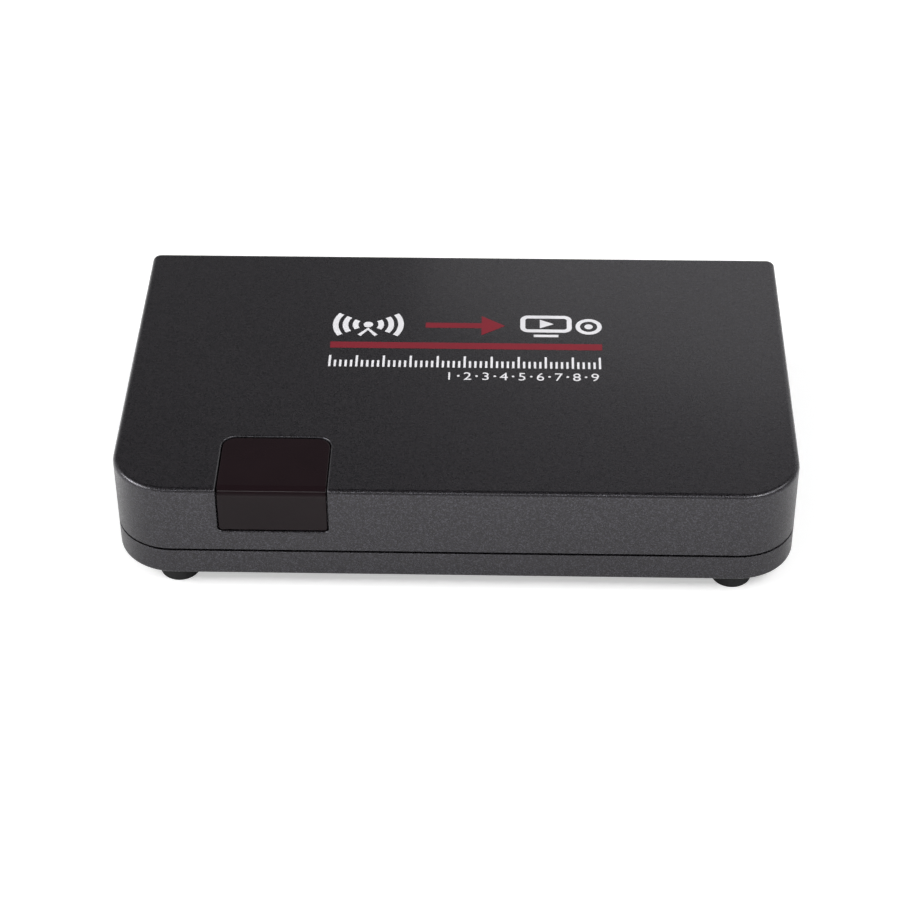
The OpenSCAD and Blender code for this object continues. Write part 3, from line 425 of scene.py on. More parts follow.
boardFinish = {"mask": (0.006, 0.062, 0.020), "track": (0.012, 0.115, 0.038),
               "pad": (0.60, 0.60, 0.58), "cell": 3.2 * mm, "wander": 0.55, "trackWidth": 0.16,
               "trackSoft": 0.03, "padShare": 0.12, "padSoft": 0.02, "padCell": 0.8,
               "coat": 0.35, "coatRoughness": 0.12, "roughness": (0.22, 0.34), "patch": 5 * mm,
               "grain": 0.25 * mm, "depth": 0.03 * mm}


def maskedBoard():
    material, tree, shader = newMaterial("maskedBoard", coat=boardFinish["coat"],
                                         coatRoughness=boardFinish["coatRoughness"])
    place = put(tree, "ShaderNodeTexCoord").outputs["Object"]
    cells = put(tree, "ShaderNodeTexVoronoi", feature="DISTANCE_TO_EDGE", voronoi_dimensions="2D")
    feed(tree, cells.inputs["Vector"], place)
    cells.inputs["Scale"].default_value = 1 / boardFinish["cell"]
    cells.inputs["Randomness"].default_value = boardFinish["wander"]
    track = ramp(tree, cells.outputs["Distance"], boardFinish["trackWidth"],
                 boardFinish["trackWidth"] + boardFinish["trackSoft"], 1.0, 0.0)
    dots = put(tree, "ShaderNodeTexVoronoi", feature="F1", voronoi_dimensions="2D")
    feed(tree, dots.inputs["Vector"], place)
    dots.inputs["Scale"].default_value = 1 / (boardFinish["padCell"] * boardFinish["cell"])
    pad = ramp(tree, dots.outputs["Distance"], boardFinish["padShare"],
               boardFinish["padShare"] + boardFinish["padSoft"], 1.0, 0.0)
    colour = blendColours(tree, track, opaque(boardFinish["mask"]), opaque(boardFinish["track"]))
    feed(tree, shader.inputs["Base Color"],
         blendColours(tree, pad, colour, opaque(boardFinish["pad"])))
    feed(tree, shader.inputs["Metallic"], pad)
    mottle = useGroup(tree, mottleGroup, Patch_size=boardFinish["patch"],
                      Grain_size=boardFinish["grain"])
    feed(tree, shader.inputs["Roughness"],
         ramp(tree, mottle["Grain"], *noiseSpan, *boardFinish["roughness"]))
    bump(tree, shader, calculate(tree, "MAXIMUM", track, pad), boardFinish["depth"])
    return material


# Insulated copper wire, wound round Z, with painted shade in the valleys between turns

wireFinish = {"turn": 0.35 * mm, "valleyShade": (0.22, 0.06, 0.02), "crest": (0.72, 0.27, 0.10),
              "roughness": (0.26, 0.5), "depth": 0.06 * mm, "coat": 0.6, "coatRoughness": 0.15}


def woundWire():
    material, tree, shader = newMaterial("woundWire", metallic=1.0, coat=wireFinish["coat"],
                                         coatRoughness=wireFinish["coatRoughness"])
    place = put(tree, "ShaderNodeTexCoord").outputs["Object"]
    up = put(tree, "ShaderNodeSeparateXYZ")
    feed(tree, up.inputs[0], place)
    phase = calculate(tree, "MULTIPLY", up.outputs[2], 2 * math.pi / wireFinish["turn"])
    turns = calculate(tree, "SINE", phase)
    height = ramp(tree, turns, -1.0, 1.0, 0.0, 1.0)
    # the valleys between turns are painted darker: painted shade
    feed(tree, shader.inputs["Base Color"],
         blendColours(tree, height, opaque(wireFinish["valleyShade"]), opaque(wireFinish["crest"])))
    low, high = wireFinish["roughness"]
    feed(tree, shader.inputs["Roughness"], ramp(tree, height, 0.0, 1.0, high, low))
    bump(tree, shader, height, wireFinish["depth"])
    return material


# Plain mouldings by slot: material's name, colour, roughness, and what differs from the usual
plastics = {
    "black_plastic": ("blackMoulding", (0.020, 0.020, 0.021), (0.45, 0.62), {"depth": 0.02 * mm}),
    "black_rubber": ("footRubber", (0.019, 0.019, 0.0195), (0.68, 0.85),
                     {"grain": 0.15 * mm, "specular": 0.3}),
    "silver_label": ("foilLabel", (0.50, 0.51, 0.52), (0.30, 0.42),
                     {"grain": 0.08 * mm, "depth": 0.003 * mm, "coat": 0.3}),
    "tan_board": ("tanLaminate", (0.33, 0.21, 0.08), (0.45, 0.6), {}),
    "white_insulator": ("waxyInsulator", (0.74, 0.73, 0.67), (0.35, 0.5), {"depth": 0.004 * mm}),
    "yellow_plastic": ("yellowMoulding", (0.70, 0.42, 0.012), (0.24, 0.36), {"depth": 0.003 * mm}),
    "white_plastic": ("whiteMoulding", (0.74, 0.74, 0.72), (0.24, 0.36), {"depth": 0.003 * mm}),
    "red_plastic": ("redMoulding", (0.46, 0.012, 0.012), (0.24, 0.36), {"depth": 0.003 * mm}),
    "chip_resin": ("chipResin", (0.019, 0.019, 0.020), (0.55, 0.72), {"grain": 0.12 * mm}),
    "blue_sleeve": ("shrunkSleeve", (0.012, 0.020, 0.075), (0.22, 0.34),
                    {"grain": 0.5 * mm, "depth": 0.006 * mm, "coat": 0.3}),
    "ferrite": ("sinteredFerrite", (0.040, 0.040, 0.043), (0.5, 0.7),
                {"grain": 0.1 * mm, "depth": 0.02 * mm}),
    "resistor_glaze": ("resistorGlaze", (0.018, 0.018, 0.019), (0.2, 0.35), {"grain": 0.1 * mm}),
    "ceramic_body": ("tanCeramic", (0.42, 0.27, 0.13), (0.45, 0.6), {"grain": 0.1 * mm}),
    "receiver_resin": ("receiverResin", (0.020, 0.012, 0.013), (0.1, 0.2), {"depth": 0.002 * mm}),
    "red_lamp": ("lampResin", (0.46, 0.02, 0.015), (0.15, 0.28),
                 {"depth": 0.002 * mm, "coat": 0.3}),
}

# Metals by slot, in the same way
metals = {
    "blackened_steel": ("blackZinc", (0.085, 0.085, 0.09), (0.32, 0.46), {}),
    "zinc_steel": ("brightZinc", (0.62, 0.62, 0.63), (0.26, 0.38), {}),
    "tinplate": ("tinplateSheet", (0.60, 0.60, 0.58), (0.22, 0.36),
                 {"line": 0.08 * mm, "stretch": 30.0}),
    "tinned_metal": ("tinnedLead", (0.66, 0.66, 0.67), (0.2, 0.32), {}),
    "nickel_plate": ("brightNickel", (0.70, 0.68, 0.64), (0.08, 0.18),
                     {"line": 0.12 * mm, "stretch": 8.0}),
    "gold_plate": ("goldFlash", (0.83, 0.60, 0.24), (0.12, 0.22), {}),
    "spring_bronze": ("springBronze", (0.62, 0.44, 0.20), (0.2, 0.32), {}),
    "aluminium_can": ("drawnCan", (0.76, 0.76, 0.77), (0.24, 0.38),
                      {"line": 0.06 * mm, "stretch": 12.0}),
}

materials = {"graphite_plastic": graphitePaint(), "smoked_window": windowAcrylic(),
             "green_board": maskedBoard(), "copper_wire": woundWire()}
for slotName, (name, colour, roughness, extra) in plastics.items():
    materials[slotName] = mouldedPlastic(name, plasticFinish(colour, roughness, **extra))
for slotName, (name, colour, roughness, extra) in metals.items():
    materials[slotName] = brushedMetal(name, metalFinish(colour, roughness, **extra))
print("materials built:", len(materials))

# Every CAD node gets its slot's finish, also where a finer piece stands for it
slotOf = {part["node"]: part["material_slot"] for part in frame["record"]["subparts"]}
for nodeName, node in nodes.items():
    node.data.materials.clear()
    node.data.materials.append(materials[slotOf[nodeName]])


# Covers: the CAD surface, merged, with its sharp outside edges softened

coverEdges = {"round": 0.32 * mm, "plainShare": 0.14, "segments": 3, "sharpDegrees": 28,
              "smoothDegrees": 32, "flatDegrees": 0.6, "printRoom": 0.02 * mm, "topBand": 0.3 * mm,
              "windowRim": 0.6 * mm, "skin": 0.02 * mm, "frontBand": 0.9 * mm,
              "wallBand": 0.7 * mm, "rearBand": 0.05 * mm, "partingBand": 0.5 * mm,
              "rearClear": 3 * mm, "coverCore": 30 * mm, "baseCore": 58 * mm,
              "evenWeight": 100}


def softenedCopy(name, nodeName, width, roundShare, segments):
    source = nodes[nodeName]
    bm = bmesh.new()
    bm.from_mesh(source.data)
    bmesh.ops.remove_doubles(bm, verts=bm.verts, dist=mergeGap)
    bmesh.ops.dissolve_limit(bm, angle_limit=math.radians(coverEdges["flatDegrees"]),
                             verts=bm.verts, edges=bm.edges)
    bmesh.ops.recalc_face_normals(bm, faces=bm.faces)
    weight = bm.edges.layers.float.new("bevel_weight_edge")
    limit = math.radians(coverEdges["sharpDegrees"])
    count = 0
    for edge in bm.edges:
        if len(edge.link_faces) == 2 and edge.calc_face_angle() > limit and edge.is_convex:
            middle = (edge.verts[0].co + edge.verts[1].co) / 2
            edge[weight] = roundShare(middle)
            count += edge[weight] > 0
    mesh = bpy.data.meshes.new(name)
    bm.to_mesh(mesh)
    bm.free()
    piece = linkObject(name, mesh, materials[slotOf[nodeName]])
    rounding = piece.modifiers.new("rounding", "BEVEL")
    rounding.limit_method = "WEIGHT"
    rounding.width = width
    rounding.segments = segments
    rounding.use_clamp_overlap = False
    rounding.harden_normals = False
    applyModifiers(piece)
    smoothByAngle(piece.data, coverEdges["smoothDegrees"])
    evenOut = piece.modifiers.new("evenOut", "WEIGHTED_NORMAL")  # keeps the big faces flat
    evenOut.keep_sharp = True
    evenOut.weight = coverEdges["evenWeight"]
    applyModifiers(piece)
    print(name, "softened edges:", count, "faces:", len(piece.data.polygons))
    return piece


coverLow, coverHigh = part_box("top_cover")
baseLow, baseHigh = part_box("bottom_cover")
windowLow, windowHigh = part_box("ir_window")


def coverEdgeShare(point):  # full beside the window, slight elsewhere outside, none inside
    rim, skin = coverEdges["windowRim"], coverEdges["skin"]
    onTop = point.z > coverHigh.z - skin
    besideWindow = (windowLow.x - rim < point.x < windowHigh.x + rim
                    and point.y < windowHigh.y + rim and point.z > windowLow.z - rim)
    if besideWindow and (onTop or point.y < coverLow.y + coverEdges["frontBand"]):
        return 1.0
    onWall = (point.y < coverLow.y + coverEdges["wallBand"]
              or abs(point.x) > coverHigh.x - coverEdges["wallBand"]
              or point.y > coverHigh.y - coverEdges["rearBand"])
    onParting = (point.z < coverLow.z + coverEdges["partingBand"]
                 and point.y < coverHigh.y - coverEdges["rearClear"]
                 and Vector((point.x, point.y, 0)).length > coverEdges["coverCore"])
    return coverEdges["plainShare"] if onTop or onWall or onParting else 0.0


topCoverShell = softenedCopy("topCoverShell", "top_cover", coverEdges["round"], coverEdgeShare,
                             coverEdges["segments"])
for corner in topCoverShell.data.vertices:
    if corner.co.z > coverHigh.z - coverEdges["topBand"]:
        share = (corner.co.z - coverHigh.z + coverEdges["topBand"]) / coverEdges["topBand"]
        corner.co.z -= share * coverEdges["printRoom"]
enlist(topCoverShell, ["top_cover"])


def baseEdgeShare(point):
    band, skin = coverEdges["rearBand"], coverEdges["skin"]
    outside = (abs(point.x) > baseHigh.x - band or point.y < baseLow.y + band
               or point.y > baseHigh.y - band or point.z < baseLow.z + skin
               or Vector((point.x, point.y, 0)).length > coverEdges["baseCore"])
    return coverEdges["plainShare"] if outside else 0.0


baseShell = softenedCopy("baseShell", "bottom_cover", coverEdges["round"], baseEdgeShare,
                         coverEdges["segments"])
enlist(baseShell, ["bottom_cover"])


# Smoked window

receiverWindow = softenedCopy("receiverWindow", "ir_window", smokedAcrylic["edge"],
                              lambda point: 1.0, smokedAcrylic["edgeSegments"])
enlist(receiverWindow, ["ir_window"])


# Small node tree that sets copies of one piece on a grid of places, each with its own spin

def copiesTree(material):
    tree, given, leave = openTree(
        "setOnPlaces", Piece="Object", Span_X="Float", Span_Y="Float", Count_X="Int", Count_Y="Int",
        Middle="Vector", Spin="Vector", Seed="Int")
    grid = wire(tree, put(tree, "GeometryNodeMeshGrid"), Size_X=given["Span X"],
                Size_Y=given["Span Y"], Vertices_X=given["Count X"], Vertices_Y=given["Count Y"])
    moved = wire(tree, put(tree, "GeometryNodeTransform"), Geometry=grid.outputs["Mesh"],
                 Translation=given["Middle"])
    source = wire(tree, put(tree, "GeometryNodeObjectInfo"), Object=given["Piece"])
    turn = put(tree, "FunctionNodeRandomValue", data_type="FLOAT_VECTOR")
    turn.inputs[0].default_value = (0, 0, 0)
    feed(tree, turn.inputs[1], given["Spin"])
    wire(tree, turn, Seed=given["Seed"])
    copies = wire(tree, put(tree, "GeometryNodeInstanceOnPoints"), Points=moved.outputs["Geometry"],
                  Instance=source.outputs["Geometry"], Rotation=turn.outputs[0])
    return closeTree(tree, leave, copies.outputs["Instances"], material)


# Rubber feet: one turned foot, set on four places

feetLow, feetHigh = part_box("rubber_feet")
footSize = {"rimRadius": 4.0 * mm, "tipRadius": 3.4 * mm, "edge": 0.35 * mm, "steps": 6,
            "around": 72, "baseHigh": 5 * mm, "slope": (0.35, 0.7, 1.0), "dishOut": 0.55,
            "dishIn": 0.5, "dishDeep": 0.12 * mm, "smoothDegrees": 40, "seed": 4}


def footProfile():
    tip, rim, edge = footSize["tipRadius"], footSize["rimRadius"], footSize["edge"]
    deep, seat = footSize["dishDeep"], coverLow.z - footSize["baseHigh"] - edge
    points = [(0, feetHigh.z), (rim, feetHigh.z), (rim, seat)]
    points += [(rim + (tip - rim) * t, seat * (1 - t) + edge * t) for t in footSize["slope"]]
    for i in range(1, footSize["steps"] + 1):
        angle = math.pi / 2 * i / footSize["steps"]
        points.append((tip - edge + edge * math.cos(angle), edge - edge * math.sin(angle)))
    return points + [(tip * footSize["dishOut"], 0.0), (tip * footSize["dishIn"], deep), (0, deep)]


def makeFeet():
    rubber, rim = materials["black_rubber"], footSize["rimRadius"]
    pattern = linkObject("footPattern", turnedMesh("footPattern", footProfile(), (0, 0, 0), "Z",
                                                   footSize["around"], False))
    smoothByAngle(pattern.data, footSize["smoothDegrees"])
    middle = (feetLow + feetHigh) / 2
    feet = runTree("rubberFeet", copiesTree(rubber), {
        "Piece": pattern, "Span X": feetHigh.x - feetLow.x - 2 * rim,
        "Span Y": feetHigh.y - feetLow.y - 2 * rim, "Count X": 2, "Count Y": 2,
        "Middle": (middle.x, middle.y, 0.0), "Spin": (0.0, 0.0, 2 * math.pi),
        "Seed": footSize["seed"]}, rubber)
    bpy.data.objects.remove(pattern)
    enlist(feet, ["rubber_feet"])


makeFeet()
print("feet set")


# Phono sleeves with rolled lips, in a row

sleeveSize = {"neck": 3.7 * mm, "bore": 3.4 * mm, "collar": 30.75 * mm, "collarEdge": 0.12 * mm,
              "lip": 0.32 * mm, "innerLip": 0.18 * mm, "steps": 6, "smoothDegrees": 40, "seed": 7}


def quarterTurn(radius, along, bend, start):
    steps = sleeveSize["steps"]
    turns = [math.radians(start + 90 * i / steps) for i in range(steps + 1)]
    return [(radius + bend * math.cos(t), along + bend * math.sin(t)) for t in turns]


def makeSleeves():
    plate = materials["nickel_plate"]
    firstLow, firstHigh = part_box("rca_sleeve_video")
    lastLow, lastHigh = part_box("rca_sleeve_right")
    rim, lip, inner = (firstHigh.x - firstLow.x) / 2, sleeveSize["lip"], sleeveSize["innerLip"]
    bore, neck, tip = sleeveSize["bore"], sleeveSize["neck"], firstHigh.y
    collar, edge = sleeveSize["collar"], sleeveSize["collarEdge"]
    profile = [(bore, firstLow.y), (neck, firstLow.y), (neck, collar), (rim - edge, collar),
               (rim, collar + edge)]
    profile += quarterTurn(rim - lip, tip - lip, lip, 0)
    profile += quarterTurn(bore + inner, tip - inner, inner, 90)
    pattern = linkObject("sleevePattern", turnedMesh("sleevePattern", profile, (0, 0, 0)))
    smoothByAngle(pattern.data, sleeveSize["smoothDegrees"])
    middle = (firstLow + lastHigh) / 2
    sleeves = runTree("phonoSleeves", copiesTree(plate), {
        "Piece": pattern, "Span X": lastLow.x - firstLow.x, "Span Y": 0.0, "Count X": 3,
        "Count Y": 1, "Middle": (middle.x, 0.0, middle.z), "Spin": (0.0, 2 * math.pi, 0.0),
        "Seed": sleeveSize["seed"]}, plate)
    bpy.data.objects.remove(pattern)
    enlist(sleeves, ["rca_sleeve_video", "rca_sleeve_left", "rca_sleeve_right"])


# Aerial socket: a turned core with its helical thread

threadSize = {"core": 4.28 * mm, "ridge": 0.42 * mm, "pitch": 0.794 * mm, "start": 31.2 * mm,
              "stop": 0.7 * mm, "neck": 4.2 * mm, "bore": 3.35 * mm, "collar": 30.75 * mm,
              "chamfer": 0.35 * mm, "boreEdge": 0.15 * mm, "around": 64, "smoothDegrees": 38}


def threadTree(material):
    tree, given, leave = openTree("helicalThread", Core="Object", Turns="Float", Radius="Float",
                                  Length="Float", Ridge="Float", Around="Int", Place="Vector")
    spiral = wire(tree, put(tree, "GeometryNodeCurveSpiral"), Resolution=given["Around"],
                  Rotations=given["Turns"], Start_Radius=given["Radius"],
                  End_Radius=given["Radius"], Height=given["Length"])
    upright = wire(tree, put(tree, "GeometryNodeSetCurveNormal", mode="Z_UP"),
                   Curve=spiral.outputs["Curve"])
    section = wire(tree, put(tree, "GeometryNodeCurvePrimitiveCircle"), Resolution=4,
                   Radius=given["Ridge"])
    swept = wire(tree, put(tree, "GeometryNodeCurveToMesh"), Curve=upright.outputs["Curve"],
                 Profile_Curve=section.outputs["Curve"], Fill_Caps=True)
    laid = wire(tree, put(tree, "GeometryNodeTransform"), Geometry=swept.outputs["Mesh"],
                Rotation=(-math.pi / 2, 0.0, 0.0), Translation=given["Place"])
    core = wire(tree, put(tree, "GeometryNodeObjectInfo"), Object=given["Core"])
    joined = put(tree, "GeometryNodeJoinGeometry")
    feed(tree, joined.inputs[0], laid.outputs["Geometry"])
    feed(tree, joined.inputs[0], core.outputs["Geometry"])
    return closeTree(tree, leave, joined.outputs["Geometry"], material)


def makeAerialSocket():
    slotName = slotOf["rf_port"]
    low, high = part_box("rf_port")
    middle, tip = (low + high) / 2, high.y
    core, chamfer, collar = threadSize["core"], threadSize["chamfer"], threadSize["collar"]
    bore, neck, edge = threadSize["bore"], threadSize["neck"], threadSize["boreEdge"]
    profile = [(bore, low.y), (neck, low.y), (neck, collar), (core, collar), (core, tip - chamfer),
               (core - chamfer, tip), (bore + edge, tip), (bore, tip - edge)]
    turned = linkObject("portCore", turnedMesh("portCore", profile, (middle.x, 0, middle.z)))
    length = tip - threadSize["stop"] - threadSize["start"]
    port = runTree("aerialSocket", threadTree(materials[slotName]), {
        "Core": turned, "Turns": length / threadSize["pitch"], "Radius": core, "Length": length,
        "Ridge": threadSize["ridge"], "Around": threadSize["around"],
        "Place": (middle.x, threadSize["start"], middle.z)}, materials[slotName])
    bpy.data.objects.remove(turned)
    smoothByAngle(port.data, threadSize["smoothDegrees"])
    enlist(port, ["rf_port"])


makeSleeves()
makeAerialSocket()
print("rear sockets turned")


# Printing on the top: plain signs for aerial, screen and socket, a stripe, a scale and numbers

topPrint = {"low": coverHigh.z - 0.024 * mm, "high": coverHigh.z - 0.002 * mm,
            "signMiddle": 9.75 * mm, "signFoot": 6.5 * mm}
inks = {"whiteInk": (0.80, 0.79, 0.82), "redInk": (0.205, 0.005, 0.017)}
inkFinish = {"roughness": (0.42, 0.56), "grain": 0.2 * mm, "depth": 0.003 * mm}
whiteInk, redInk = (mouldedPlastic(name, plasticFinish(colour, **inkFinish))
                    for name, colour in inks.items())


def addBlock(bm, outline):
    low = [bm.verts.new((x, y, topPrint["low"])) for x, y in outline]
    high = [bm.verts.new((x, y, topPrint["high"])) for x, y in outline]
    bm.faces.new(high)
    bm.faces.new(low[::-1])
    for i in range(len(outline)):
        j = (i + 1) % len(outline)
        bm.faces.new((low[i], low[j], high[j], high[i]))


def addStroke(bm, points, wide, closed=False):
    count = len(points)
    left, right = [], []
    for i, point in enumerate(points):
        before = points[i - 1] if i or closed else point
        after = points[(i + 1) % count] if i < count - 1 or closed else point
        along = (Vector(after) - Vector(before)).normalized()
        across = Vector((-along.y, along.x)) * wide / 2
        left.append(Vector(point) + across)
        right.append(Vector(point) - across)
    if not closed:
        return addBlock(bm, left + right[::-1])
    rings = [[bm.verts.new((p.x, p.y, topPrint[level])) for p in side]
             for side, level in ((left, "low"), (right, "low"), (right, "high"), (left, "high"))]
    for a, b in zip(rings, rings[1:] + rings[:1]):
        for i in range(count):
            j = (i + 1) % count
            bm.faces.new((a[i], a[j], b[j], b[i]))


def arcPoints(x, y, radius, start, end, steps):
    turns = [math.radians(start + (end - start) * i / steps) for i in range(steps + 1)]
    return [(x + radius * math.cos(t), y + radius * math.sin(t)) for t in turns]


def circlePoints(x, y, radius, count):
    return arcPoints(x, y, radius, 0, 360 * (count - 1) / count, count - 1)


aerialSign = {"x": -16.45 * mm, "stroke": 1.0 * mm, "dot": 0.85 * mm, "dotSteps": 24, "turn": 33,
              "arcs": (2.3 * mm, 4.1 * mm, 5.85 * mm), "arcSteps": 16, "legReach": 1.5 * mm,
              "legDrop": 1.3 * mm, "legStroke": 0.7 * mm}


def addAerial(bm):
    x, middle, turn = aerialSign["x"], topPrint["signMiddle"], aerialSign["turn"]
    addBlock(bm, circlePoints(x, middle, aerialSign["dot"], aerialSign["dotSteps"]))
    for radius in aerialSign["arcs"]:
        for start in (0, 180):
            arc = arcPoints(x, middle, radius, start - turn, start + turn, aerialSign["arcSteps"])
            addStroke(bm, arc, aerialSign["stroke"])
    reach, foot = aerialSign["legReach"], topPrint["signFoot"]
    addStroke(bm, [(x - reach, foot), (x, middle - aerialSign["legDrop"]), (x + reach, foot)],
              aerialSign["legStroke"])


screenSign = {"left": 10.7 * mm, "right": 19.9 * mm, "lift": 1.4 * mm, "stroke": 0.9 * mm,
              "inset": 0.45 * mm, "bend": 1.0 * mm, "bendSteps": 8, "standReach": 2.2 * mm,
              "standLift": 0.35 * mm, "standStroke": 0.7 * mm, "markBack": 1.1 * mm,
              "markTip": 1.4 * mm, "markHalf": 1.3 * mm}
plugSign = {"x": 22.9 * mm, "radius": 1.95 * mm, "stroke": 0.8 * mm, "ringSteps": 48,
            "dot": 0.75 * mm, "dotSteps": 24}


def addScreenAndPlug(bm):
    middle, foot = topPrint["signMiddle"], topPrint["signFoot"]
    left, right, bend = screenSign["left"], screenSign["right"], screenSign["bend"]
    bottom, head = foot + screenSign["lift"], 2 * middle - foot
    inset = screenSign["inset"] + bend
    outline = []
    for x, y, start in ((right - inset, head - inset, 0), (left + inset, head - inset, 90),
                        (left + inset, bottom + inset, 180), (right - inset, bottom + inset, 270)):
        outline += arcPoints(x, y, bend, start, start + 90, screenSign["bendSteps"])
    addStroke(bm, outline, screenSign["stroke"], True)
    centre, half = (left + right) / 2, (bottom + head) / 2
    standY, reach = foot + screenSign["standLift"], screenSign["standReach"]
    addStroke(bm, [(centre - reach, standY), (centre + reach, standY)], screenSign["standStroke"])
    back, tall = centre - screenSign["markBack"], screenSign["markHalf"]
    addBlock(bm, [(back, half - tall), (centre + screenSign["markTip"], half), (back, half + tall)])
    ring = circlePoints(plugSign["x"], middle, plugSign["radius"], plugSign["ringSteps"])
    addStroke(bm, ring, plugSign["stroke"], True)
    addBlock(bm, circlePoints(plugSign["x"], middle, plugSign["dot"], plugSign["dotSteps"]))


numerals = {"first": 1, "last": 9, "start": -1.6 * mm, "end": 23.8 * mm, "foot": -6.3 * mm,
            "size": 3.1 * mm, "steps": 4, "dot": 0.24 * mm, "dotSteps": 12, "dotLift": 1.1 * mm}


def addNumbers(bm):
    low, high = topPrint["low"], topPrint["high"]
    count = numerals["last"] - numerals["first"]
    step = (numerals["end"] - numerals["start"]) / count
    for i in range(count + 1):
        x = numerals["start"] + step * i
        curve = bpy.data.curves.new("numeral", "FONT")
        curve.body, curve.align_x = str(numerals["first"] + i), "CENTER"
        curve.size, curve.resolution_u = numerals["size"], numerals["steps"]
        curve.extrude = (high - low) / 2
        holder = linkObject("numeral", curve)
        graph = bpy.context.evaluated_depsgraph_get()
        mesh = bpy.data.meshes.new_from_object(holder.evaluated_get(graph))
        mesh.transform(Matrix.Translation((x, numerals["foot"], (high + low) / 2)))
        bm.from_mesh(mesh)
        bpy.data.objects.remove(holder)
        if i < count:
            addBlock(bm, circlePoints(x + step / 2, numerals["foot"] + numerals["dotLift"],
                                      numerals["dot"], numerals["dotSteps"]))
    bmesh.ops.remove_doubles(bm, verts=bm.verts, dist=mergeGap)


stripeSize = {"left": -22.9 * mm, "right": 25.2 * mm, "low": 2.7 * mm, "high": 4.5 * mm}
arrowSize = {"tail": -6.2 * mm, "tip": 8.0 * mm, "head": 4.2 * mm, "reach": 2.9 * mm,
             "stroke": 1.5 * mm}


def addStripeAndArrow(bm):
    left, right, low, high = (stripeSize[k] for k in ("left", "right", "low", "high"))
    addBlock(bm, [(left, low), (right, low), (right, high), (left, high)])
    middle, reach = topPrint["signMiddle"], arrowSize["reach"]
    neck = arrowSize["tip"] - arrowSize["head"]
    addStroke(bm, [(arrowSize["tail"], middle), (neck, middle)], arrowSize["stroke"])
    addBlock(bm, [(neck, middle - reach), (arrowSize["tip"], middle), (neck, middle + reach)])


tickScale = {"ticks": 51, "tallEvery": 5, "start": -22.7 * mm, "end": 24.7 * mm,
             "foot": -2.8 * mm, "wide": 0.40 * mm, "short": 1.9 * mm, "tall": 3.3 * mm}


def scaleTree(material):
    tree, given, leave = openTree("tickScale", Ticks="Int", Pitch="Float", Start="Vector",
                                  Tick_size="Vector", Tall_every="Int", Tall_share="Float")
    offset = wire(tree, put(tree, "ShaderNodeCombineXYZ"), X=given["Pitch"])
    line = wire(tree, put(tree, "GeometryNodeMeshLine", mode="OFFSET"), Count=given["Ticks"],
                Start_Location=given["Start"], Offset=offset.outputs[0])
    block = wire(tree, put(tree, "GeometryNodeMeshCube"), Size=given["Tick size"])
    lift = put(tree, "ShaderNodeVectorMath", operation="MULTIPLY")
    feed(tree, lift.inputs[0], given["Tick size"])
    lift.inputs[1].default_value = (0.0, 0.5, 0.5)
    raised = wire(tree, put(tree, "GeometryNodeTransform"), Geometry=block.outputs["Mesh"],
                  Translation=lift.outputs[0])
    place = calculate(tree, "MODULO", put(tree, "GeometryNodeInputIndex").outputs[0],
                      given["Tall every"])
    isTall = calculate(tree, "LESS_THAN", place, 0.5)
    extra = calculate(tree, "SUBTRACT", given["Tall share"], 1.0)
    tall = calculate(tree, "ADD", calculate(tree, "MULTIPLY", isTall, extra), 1.0)
    size = wire(tree, put(tree, "ShaderNodeCombineXYZ"), X=1.0, Y=tall, Z=1.0)
    copies = wire(tree, put(tree, "GeometryNodeInstanceOnPoints"), Points=line.outputs["Mesh"],
                  Instance=raised.outputs["Geometry"], Scale=size.outputs[0])
    return closeTree(tree, leave, copies.outputs["Instances"], material)


def makeScale():
    pitch = (tickScale["end"] - tickScale["start"]) / (tickScale["ticks"] - 1)
    tick = (tickScale["wide"], tickScale["short"], topPrint["high"] - topPrint["low"])
    scale = runTree("printedScale", scaleTree(whiteInk), {
        "Ticks": tickScale["ticks"], "Pitch": pitch,
        "Start": (tickScale["start"], tickScale["foot"], topPrint["low"]), "Tick size": tick,
        "Tall every": tickScale["tallEvery"],
        "Tall share": tickScale["tall"] / tickScale["short"]}, whiteInk)
    enlist(scale)


def printPiece(name, makers, material):
    bm = bmesh.new()
    for maker in makers:
        maker(bm)
    bmesh.ops.recalc_face_normals(bm, faces=bm.faces)
    mesh = bpy.data.meshes.new(name)
    bm.to_mesh(mesh)
    bm.free()
    enlist(linkObject(name, mesh, material))


printPiece("printedSigns", (addAerial, addScreenAndPlug), whiteInk)
printPiece("printedNumbers", (addNumbers,), whiteInk)
printPiece("printedStripe", (addStripeAndArrow,), redInk)
makeScale()
print("top printed")


# Camera at the photograph's angle

cameraView = {"place": (9.098 * mm, -358.811 * mm, 288.104 * mm), "elevation": 38.686,
              "yaw": -1.726, "roll": -0.402, "lens": 101.72, "sensor": 36.0, "near": 10 * mm,
              "far": 20.0}


def makeCamera():
    lens = bpy.data.cameras.new("photoCamera")
    lens.lens, lens.sensor_width = cameraView["lens"], cameraView["sensor"]
    lens.clip_start, lens.clip_end = cameraView["near"], cameraView["far"]
    camera = bpy.data.objects.new("photoCamera", lens)
    scene.collection.objects.link(camera)
    tilt, yaw, roll = (math.radians(cameraView[k]) for k in ("elevation", "yaw", "roll"))
    ahead = Vector((math.sin(yaw) * math.cos(tilt), math.cos(yaw) * math.cos(tilt),
                    -math.sin(tilt)))
    right = Vector((math.cos(yaw), -math.sin(yaw), 0))
    up = right.cross(ahead)
    rolledRight = math.cos(roll) * right + math.sin(roll) * up
    rolledUp = -math.sin(roll) * right + math.cos(roll) * up
    turn = Matrix((rolledRight, rolledUp, -ahead)).transposed()
    camera.matrix_world = Matrix.Translation(cameraView["place"]) @ turn.to_4x4()
    scene.camera = camera


makeCamera()


# Floor, lights and world

